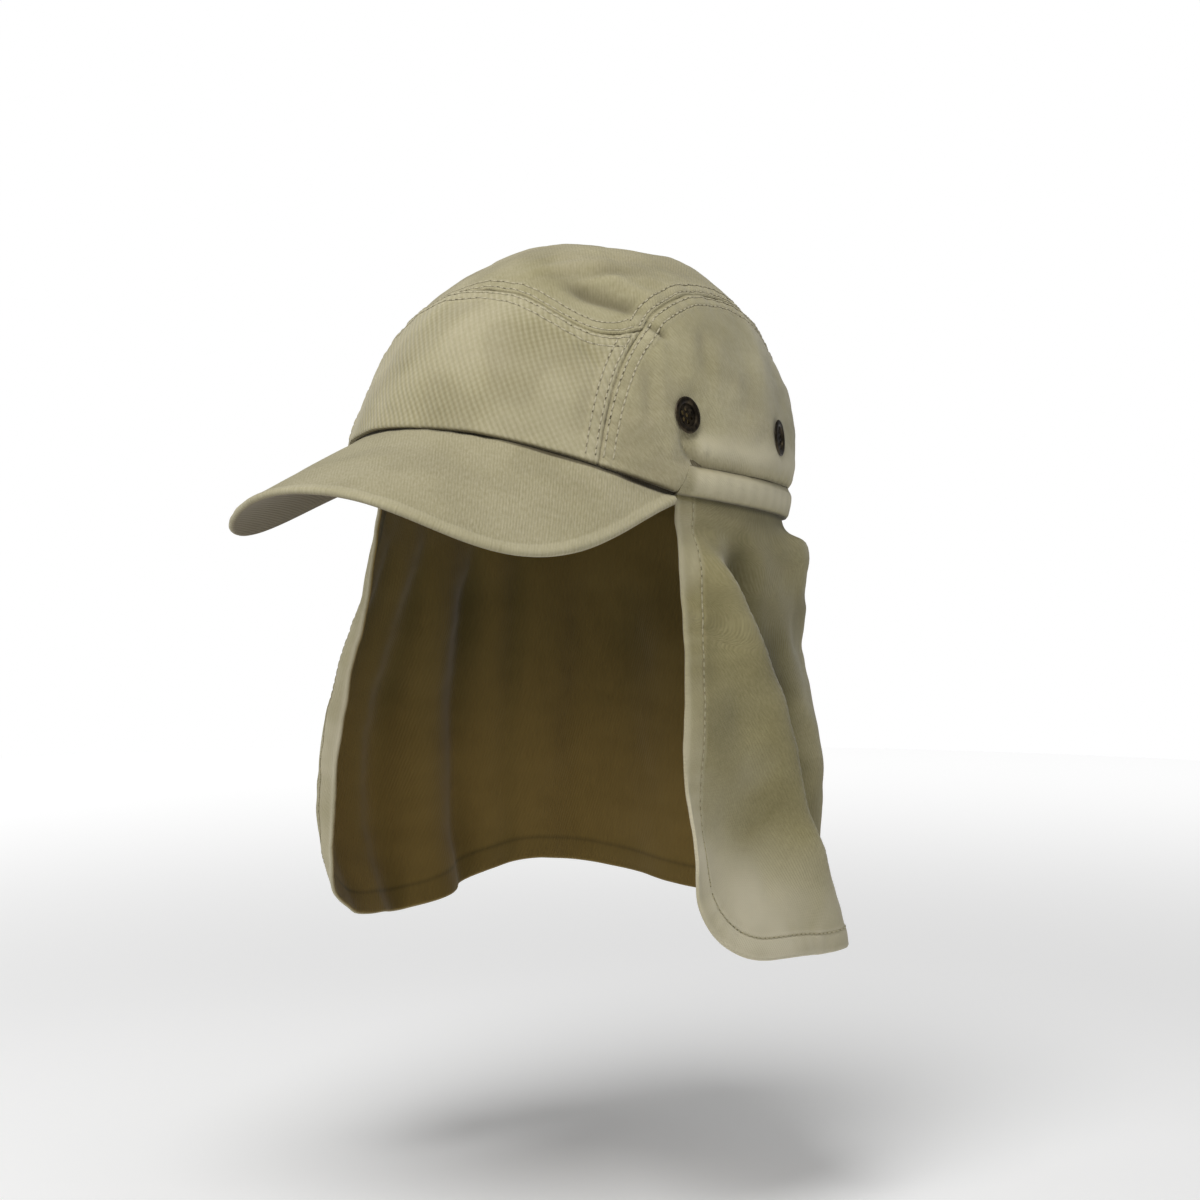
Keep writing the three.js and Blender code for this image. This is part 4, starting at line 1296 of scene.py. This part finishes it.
# Softer folds, laid on the cloth alone: angle at the band and at the hem, rise, half width
# in front and behind, from and to shares of the height, fade, and the tone painted along it:
# painted shade below nought, painted light above
flapCreases = [
    (76, 122, 3.4, 7, 2.2, 0.06, 0.86, 0.12, 0.16),
    (82.5, 131, -5, 2.4, 8, 0.08, 0.86, 0.15, -0.42),
    (84, 95, 1.6, 3, 4, 0.02, 0.3, 0.1, 0),
    (92, 104, -2.4, 3.5, 4, 0.03, 0.42, 0.12, -0.45),
    (98, 114, 2.4, 4, 5, 0.02, 0.5, 0.12, 0),
    (110, 150, -1.4, 5, 7, 0.05, 0.9, 0.25, 0),
    (104, 108, 1.2, 7, 7, 0.6, 1.3, 0.2, 0),
    (140, 150, 1.6, 7, 5, 0.05, 1.2, 0.25, 0.05),
    (176, 180, -1.5, 6, 6, 0.05, 1.3, 0.25, -0.06),
    (203, 206, 1.6, 6, 6, 0.05, 1.3, 0.25, 0.05),
    (225, 226, -2.5, 5, 6, 0.05, 1.3, 0.25, -0.06),
    (237, 236, 3.0, 3.5, 4, 0.02, 1.3, 0.25, 0.05),
    (249, 247, 4.0, 3.5, 2.6, 0.02, 1.3, 0.25, 0.05),
    (257, 255, -3.0, 4, 4, 0.02, 1.3, 0.25, -0.06),
    (265.5, 264, 3.2, 2.4, 2.6, 0.02, 1.3, 0.25, 0.05),
    (270, 269.5, -1.8, 2.4, 2.4, 0.02, 1.3, 0.25, -0.05),
    (276, 276, 2.2, 2.6, 2.2, 0.02, 1.3, 0.25, 0),
]
# Broad hollows and swells: angle round, share of the height, half sizes of both, rise
flapDents = [
    (93, 0.72, 23, 0.14, -8.5),
    (92, 1.03, 26, 0.12, 5.5),
    (98, 0.36, 18, 0.15, 2.2),
    (84, 0.07, 9, 0.05, -2.2),
    (180, 0.7, 40, 0.2, -2.5),
    (255, 0.7, 25, 0.2, -2.5),
    (289, 0.5, 3.2, 0.5, -7.5),
    (289, 0.85, 3.6, 0.2, -3),
    # the outline seen from the wearer's left front
    (127, 0.065, 12, 0.04, 4.5),
    (127, 0.2, 12, 0.07, -4.2),
    (127, 0.6, 14, 0.2, 4.2),
]
# Painted light and shade on the flap: angle round, share of the height, half sizes of both,
# how much (painted light above nought, painted shade below)
flapShades = [
    (98, 0.33, 28, 0.27, -0.3),
    (99, 0.2, 9, 0.1, 0.1),
    (108, 0.45, 9, 0.22, -0.6),
    (90, 0.63, 12, 0.1, 0.25),
    (92, 0.9, 26, 0.12, 1.0),
    (286, 0.7, 3, 0.25, 0.35),
]
edgeCurl = {"left": (0, 14), "right": (13, 13), "power": 1.6, "heightPower": 2}


def outwardAt(turn):
    ax, ay = rimPlan(turn + 0.5)
    bx, by = rimPlan(turn - 0.5)
    return unit(np.stack([ay - by, bx - ax, 0 * ax], -1))


def flapGrid(turn, v):
    turn = turn[:, None] + 0 * v[None]
    v = v[None] + 0 * turn
    out = outwardAt(turn)
    back = np.stack([-out[..., 1], out[..., 0], 0 * turn], -1)
    x, y = rimPlan(turn)
    inset = band["thickness"] + sewn
    tuck = np.where(v < 0, flap["tuck"] * -v, 0)
    top = levelled(np.stack([x, y, tuck], -1) - out * inset)
    down = np.maximum(v, 0)
    hem = through(flapSections, 4, turn)
    fromFront = np.clip(np.minimum(turn - flap["startAngle"], 360 - flap["startAngle"] - turn), 0, None)
    inwards = np.minimum(np.radians(fromFront) * flap["meanRadius"], flap["cornerRadius"])
    radius = flap["cornerRadius"]
    cornerRise = radius - np.sqrt(radius ** 2 - (radius - inwards) ** 2)
    z = top[..., 2] + (hem + cornerRise - top[..., 2]) * down
    drop = np.maximum((top[..., 2] - z) / (top[..., 2] - hem), 0)
    depth = np.where(turn < 180, edgeCurl["left"][0], edgeCurl["right"][0])
    reach = np.where(turn < 180, edgeCurl["left"][1], edgeCurl["right"][1])
    turnIn = np.maximum(1 - np.radians(fromFront) * flap["meanRadius"] / reach, 0) ** edgeCurl["power"]
    rise = through(flapSections, 1, turn) * drop
    rise += through(flapSections, 2, turn) * np.sin(np.pi * drop ** flap["bowPower"])
    rise -= depth * turnIn * np.sin(np.pi * drop ** edgeCurl["heightPower"])
    for bandTurn, hemTurn, height, width, since, until, fade in flapFolds:
        away = (turn - bandTurn - (hemTurn - bandTurn) * drop) / width
        shown = eased((drop - since) / fade) * eased((until - drop) / fade)
        rise += height * np.exp(-away ** 2) * shown
    shift = through(flapSections, 3, turn) * drop
    hung = np.stack([top[..., 0], top[..., 1], z], -1) + out * rise[..., None] + back * shift[..., None]
    return np.where((v <= 0)[..., None], top, hung)


def softFolds(turn, drop):
    rise = np.zeros(np.broadcast_shapes(turn.shape, drop.shape))
    shade = rise.copy()
    for bandTurn, hemTurn, height, ahead, behind, since, until, fade, tone in flapCreases:
        away = turn - bandTurn - (hemTurn - bandTurn) * drop
        away = away / np.where(away < 0, ahead, behind)
        shown = eased((drop - since) / fade) * eased((until - drop) / fade)
        rise += height * np.exp(-away ** 2) * shown
        shade += tone * np.exp(-away ** 2) * shown
    for middle, height, halfTurn, halfDrop, depth in flapDents:
        rise += depth * np.exp(-((turn - middle) / halfTurn) ** 2 - ((drop - height) / halfDrop) ** 2)
    for middle, height, halfTurn, halfDrop, tone in flapShades:
        shade += tone * np.exp(-((turn - middle) / halfTurn) ** 2 - ((drop - height) / halfDrop) ** 2)
    return rise, shade


def neckFlapPiece():
    share = graded(360, flap["fine"], flap["coarse"], flap["border"])
    turn = flap["startAngle"] + (360 - 2 * flap["startAngle"]) * share
    down = graded(180, flap["fine"], flap["coarse"], flap["border"])
    v = np.concatenate([flap["tuckRows"], down])
    grid = flapGrid(turn, v)
    hint = outwardAt(turn)[:, None] + 0 * grid
    normals = gridNormals(grid, hint)
    # Where the corners begin to round, both ways over the grid run together, so the facing
    # is taken from further in
    deep = flap["cornerColumns"]
    share = eased(np.arange(deep) / deep)[:, None, None]
    normals[:deep] = unit(normals[:deep] * share + normals[deep] * (1 - share))
    normals[:-deep - 1:-1] = unit(normals[:-deep - 1:-1] * share + normals[-deep - 1] * (1 - share))
    first = len(flap["tuckRows"])
    edges = np.concatenate([grid[0, first:], grid[1:-1, -1], grid[-1, :first - 1:-1]])
    away, place = nearestOn(grid, edges)
    wobble = np.sin(place / 2.1 + 3.2 * np.sin(place / 9.5))
    wobble += 0.7 * np.sin(place / 5.3 + 2 * np.sin(place / 23))
    folds, foldShade = softFolds(turn[:, None], np.clip(v, 0, 1)[None])
    folds += 0.3 * drift(grid, 30, 61) + 0.12 * drift(grid, 11, 62)
    rise = folds.copy()
    rise += hemRelief["ply"] * (1 - eased((away - flap["hem"] + 0.9) / hemRelief["plyFade"]))
    rise += mound(hemRelief["row"], away - flap["hemRow"])
    rise += wobble * mound(hemRelief["pucker"], away - hemRelief["puckerAt"])
    hanging = eased((v - 0.02) / 0.06)[None]
    rise = rise * hanging
    # Painted light and shade of the folds, the rubbed edge, the paler hem, the puckers' painted light
    # and shade, washed patches and the row's painted shade
    wearAndShading = foldShade + mound(flapTones["edge"], away)
    tone, width = flapTones["hem"]
    wearAndShading += tone * (1 - eased((away - flap["hem"]) / width))
    wearAndShading += wobble * mound(flapTones["pucker"], away - hemRelief["puckerAt"])
    wearAndShading += flapTones["washed"] * np.clip(drift(grid, 30, 63), -1, 1)
    wearAndShading += mound(flapTones["row"], away - flap["hemRow"])
    # The cloth goes up behind the band, out of the light
    tone, width = flapTones["behindBand"]
    wearAndShading += tone * (1 - eased((v - 0.002) / width))[None]
    outer = grid + normals * rise[..., None]
    inner = grid + normals * (folds * hanging - flap["thickness"])[..., None]
    flat = laidFlat(grid, normals)
    # Painted shade on the inside, darkest near the band
    tone, begins, fadesOver = flapTones["upperInside"]
    paintedShadeInside = 0 * wearAndShading + tone * (1 - eased((v - begins) / fadesOver))[None]
    paintedShadeInside += mound(flapTones["hemInside"], away - flap["hem"])
    paintedShadeInside += flapTones["plyInside"] * (away < flap["hem"])
    paintedShadeInside += flapTones["foldInside"] * folds.clip(0, 4)
    piece = clothPiece("neckFlapCloth", outer, inner, flat, wearAndShading, materials["flapTwill"], rimRings=3,
                       paintedShadeInside=paintedShadeInside)
    facing = gridNormals(outer, hint)
    rows = []
    lower = slice(first, None)
    for border in ("start", "end", "high"):
        line, up, spot = rowAt(outer[:, lower], facing[:, lower], away[:, lower], place[:, lower],
                               border, flap["hemRow"])
        if border == "high":
            keep = line[:, 2] <= flap["hemRowFrom"]
        else:
            keep = line[:, 2] > flap["edgeRowsEnd"]
        rows.append((line[keep], up[keep], spot[keep]))
    sewnRows = stitchPiece("flapTopstitching", rows, materials["flapThread"], 34)
    seated(sewnRows, "flap_twill")
    seated(piece, "flap_twill", "neck_flap")
    return piece


neckFlapCloth = neckFlapPiece()
print("neck flap made,", len(neckFlapCloth.data.polygons), "faces")

# Vent eyelets: a rolled ring, a barrel through the cloth and a pierced screen

eyelet = {
    "standOff": 0.35,
    "sit": 0.3,
    "flange": 0.8,
    "flangeRadius": 7.5,
    "barrelRadius": 5.4,
    "boreRadius": 4.7,
    "backRadius": 6.8,
    "screen": 0.5,
    "holeRadius": 0.95,
    "pitch": 2.7,
    "steps": 56,
    "joined": 0.1,  # the screen's edge lies this deep in the ring
    "screenHeight": 0.1,
    "screenEdge": 0.08,
    "clearance": 0.15,
    "seatRing": 6,  # the cloth is felt on a circle of this radius
}


def eyeletProfile():
    e = eyelet
    face, roll = e["standOff"], e["flange"]
    back = -(crown["wall"] + 2 * e["standOff"])
    return [
        (e["flangeRadius"], face + 0.2), (e["flangeRadius"] - 0.12, face + 0.5),
        (e["flangeRadius"] - 0.5, face + roll * 0.95), (e["flangeRadius"] - 1.1, face + roll * 1.08),
        (e["flangeRadius"] - 1.8, face + roll), (e["boreRadius"] + 0.45, face + roll * 0.62),
        (e["boreRadius"] + 0.1, face + roll * 0.3), (e["boreRadius"], face - 0.2),
        (e["boreRadius"], back - roll + 0.2), (e["boreRadius"] + 0.3, back - roll),
        (e["backRadius"] - 0.3, back - roll), (e["backRadius"], back - roll + 0.3),
        (e["backRadius"] - 0.1, back), (e["barrelRadius"], back),
        (e["barrelRadius"], face - 0.1), (e["flangeRadius"] - 0.4, face - 0.1),
    ]


def spunRing(name, profile):
    bpy.ops.object.select_all(action="DESELECT")
    r, z = profile[0]
    bpy.ops.mesh.primitive_plane_add(size=0.001, location=(0, 0, 0))
    piece = bpy.context.object
    piece.name = name
    bpy.ops.object.mode_set(mode="EDIT")
    bpy.ops.mesh.select_all(action="SELECT")
    bpy.ops.mesh.merge(type="CENTER")
    bpy.ops.transform.translate(value=(r * 0.001, 0, z * 0.001))
    for (r0, z0), (r1, z1) in zip(profile, profile[1:] + profile[:1]):
        bpy.ops.mesh.extrude_region_move(
            TRANSFORM_OT_translate={"value": ((r1 - r0) * 0.001, 0, (z1 - z0) * 0.001)})
    bpy.ops.mesh.select_all(action="SELECT")
    bpy.ops.mesh.spin(steps=eyelet["steps"], angle=2 * math.pi, center=(0, 0, 0), axis=(0, 0, 1))
    bpy.ops.mesh.select_all(action="SELECT")
    bpy.ops.mesh.remove_doubles(threshold=0.00001)
    bpy.ops.mesh.select_all(action="SELECT")
    bpy.ops.mesh.normals_make_consistent(inside=False)
    bpy.ops.object.mode_set(mode="OBJECT")
    return piece


def cutWith(piece, tool):
    activate(piece)
    cut = piece.modifiers.new("cut", "BOOLEAN")
    cut.operation = "DIFFERENCE"
    cut.solver = "EXACT"
    cut.object = tool
    bpy.ops.object.modifier_apply(modifier="cut")
    bpy.data.objects.remove(tool)


def rodPiece(radius, length, place=(0, 0), sides=28, height=0.0):
    bpy.ops.object.select_all(action="DESELECT")
    bpy.ops.mesh.primitive_cylinder_add(vertices=sides, radius=radius * 0.001, depth=length * 0.001,
                                        location=(place[0] * 0.001, place[1] * 0.001, height * 0.001))
    bpy.ops.object.transform_apply(location=True, rotation=True, scale=True)
    return bpy.context.object


def eyeletScreen():
    height = eyelet["screenHeight"]
    screen = rodPiece(eyelet["boreRadius"] + eyelet["joined"], eyelet["screen"],
                      sides=eyelet["steps"], height=height)
    screen.name = "eyeletScreen"
    bpy.ops.object.mode_set(mode="EDIT")
    bpy.ops.mesh.select_all(action="SELECT")
    bpy.ops.mesh.bevel(offset=eyelet["screenEdge"] * 0.001, segments=2)
    bpy.ops.object.mode_set(mode="OBJECT")
    spots = [(0, 0)]
    for a in range(0, 360, 60):
        way = math.radians(a)
        spots.append((eyelet["pitch"] * math.cos(way), eyelet["pitch"] * math.sin(way)))
    for spot in spots:
        cutWith(screen, rodPiece(eyelet["holeRadius"], 3, spot, 20, height))
    return screen


# An eyelet lies flat on the cloth around its hole
def seatTurn(turn, up):
    place = shellPoint(np.array(turn), np.array(up))
    facing = shellNormal(place)
    aside = unit(np.cross(facing, (0, 0, 1.0)))
    upwards = np.cross(aside, facing)
    around = np.radians(np.arange(0, 360, 30))[:, None]
    ring = place + eyelet["seatRing"] * (np.cos(around) * aside + np.sin(around) * upwards)
    ring = ontoShell(np.concatenate([ring, place[None]]))
    lift = clothRise(ring, sideSeed["left" if turn > 0 else "right"])
    ring = ring + shellNormal(ring) * lift[:, None]
    centre = ring[:-1].mean(0)
    facing = np.linalg.svd(ring[:-1] - centre)[2][2]
    facing = facing * np.sign(facing @ shellNormal(place))
    centre = centre + facing * eyelet["sit"]
    rotation = Vector((0, 0, 1)).rotation_difference(Vector(levelled(facing))).to_matrix().to_4x4()
    return Matrix.Translation(Vector(levelled(centre)) * 0.001) @ rotation


def eyeletPieces():
    ring = spunRing("eyeletRing", eyeletProfile())
    screen = eyeletScreen()
    activate(ring)
    screen.select_set(True)
    bpy.ops.object.join()
    ring.data.materials.clear()
    ring.data.materials.append(materials["antiqueBrass"])
    smoothed(ring, metalCrease)
    made = []
    for side, (turn, up) in eyeletSeats.items():
        seat = seatTurn(turn, up)
        panel = leftSideCloth if turn > 0 else rightSideCloth
        tool = rodPiece(eyelet["barrelRadius"] + eyelet["clearance"], 14, sides=48)
        tool.data.transform(seat)
        cutWith(panel, tool)
        piece = ring.copy()
        piece.data = ring.data.copy()
        piece.name = "ventEyelet" + side
        piece.data.transform(seat)
        bpy.context.scene.collection.objects.link(piece)
        hand = "left" if turn > 0 else "right"
        end = "front" if "Front" in side else "rear"
        made.append(seated(piece, "eyelet_metal", "vent_eyelet_" + hand + "_" + end))
    bpy.data.objects.remove(ring)
    return made


ventEyelets = eyeletPieces()
print("eyelets made:", len(ventEyelets))

# Floor, soft boxes and the pale surround


def addStudio():
    bpy.ops.object.select_all(action="DESELECT")
    bpy.ops.mesh.primitive_circle_add(vertices=96, radius=studio["floorSize"], fill_type="NGON",
                                      location=(0, 0, studio["floorHeight"]))
    floor = bpy.context.object
    floor.name = "studioFloor"
    # Matt painted board, plain and pale
    material, tree = newMaterial("paintedBoard")
    spot = addNode(tree, "ShaderNodeTexCoord")
    out = addNode(tree, "ShaderNodeVectorMath", {"operation": "LENGTH"}, {},
                  {0: spot.outputs["Object"]})
    least, most = studio["floorGlow"]
    glow = addNode(tree, "ShaderNodeMapRange", {"interpolation_type": "SMOOTHSTEP"},
                   {"From Min": studio["glowFrom"], "From Max": studio["floorSize"],
                    "To Min": least, "To Max": most}, {"Value": out.outputs["Value"]})
    shader = addNode(tree, "ShaderNodeBsdfPrincipled", {},
                     {"Base Color": linear(studio["floorColour"]), "Roughness": 0.9,
                      "Specular IOR Level": 0.1, "Emission Color": (1, 1, 1, 1)},
                     {"Emission Strength": glow.outputs["Result"]})
    addNode(tree, "ShaderNodeOutputMaterial", {}, {}, {"Surface": shader.outputs["BSDF"]})
    floor.data.materials.append(material)
    for name, azimuth, elevation, power in studio["lamps"]:
        data = bpy.data.lights.new(name, "AREA")
        data.shape = "DISK"
        data.size = studio["lampSize"]
        data.energy = power
        box = bpy.data.objects.new(name, data)
        way = wayTo(azimuth, elevation)
        box.location = way * studio["lampDistance"] + Vector(studio["lampAim"])
        box.rotation_mode = "QUATERNION"
        box.rotation_quaternion = way.to_track_quat("Z", "Y")
        bpy.context.scene.collection.objects.link(box)
    world = bpy.data.worlds.new("paleSurround")
    world.use_nodes = True
    tree = world.node_tree
    tree.nodes.clear()
    seen = addNode(tree, "ShaderNodeLightPath")
    strength = addNode(tree, "ShaderNodeMapRange", {},
                       {"To Min": studio["ambient"], "To Max": studio["backdrop"]},
                       {"Value": seen.outputs["Is Camera Ray"]})
    glow = addNode(tree, "ShaderNodeBackground", {}, {"Color": (1, 1, 1, 1)},
                   {"Strength": strength.outputs["Result"]})
    addNode(tree, "ShaderNodeOutputWorld", {}, {}, {"Surface": glow.outputs["Background"]})
    bpy.context.scene.world = world
    bpy.context.scene.view_settings.view_transform = "Standard"


addStudio()
print("studio set")
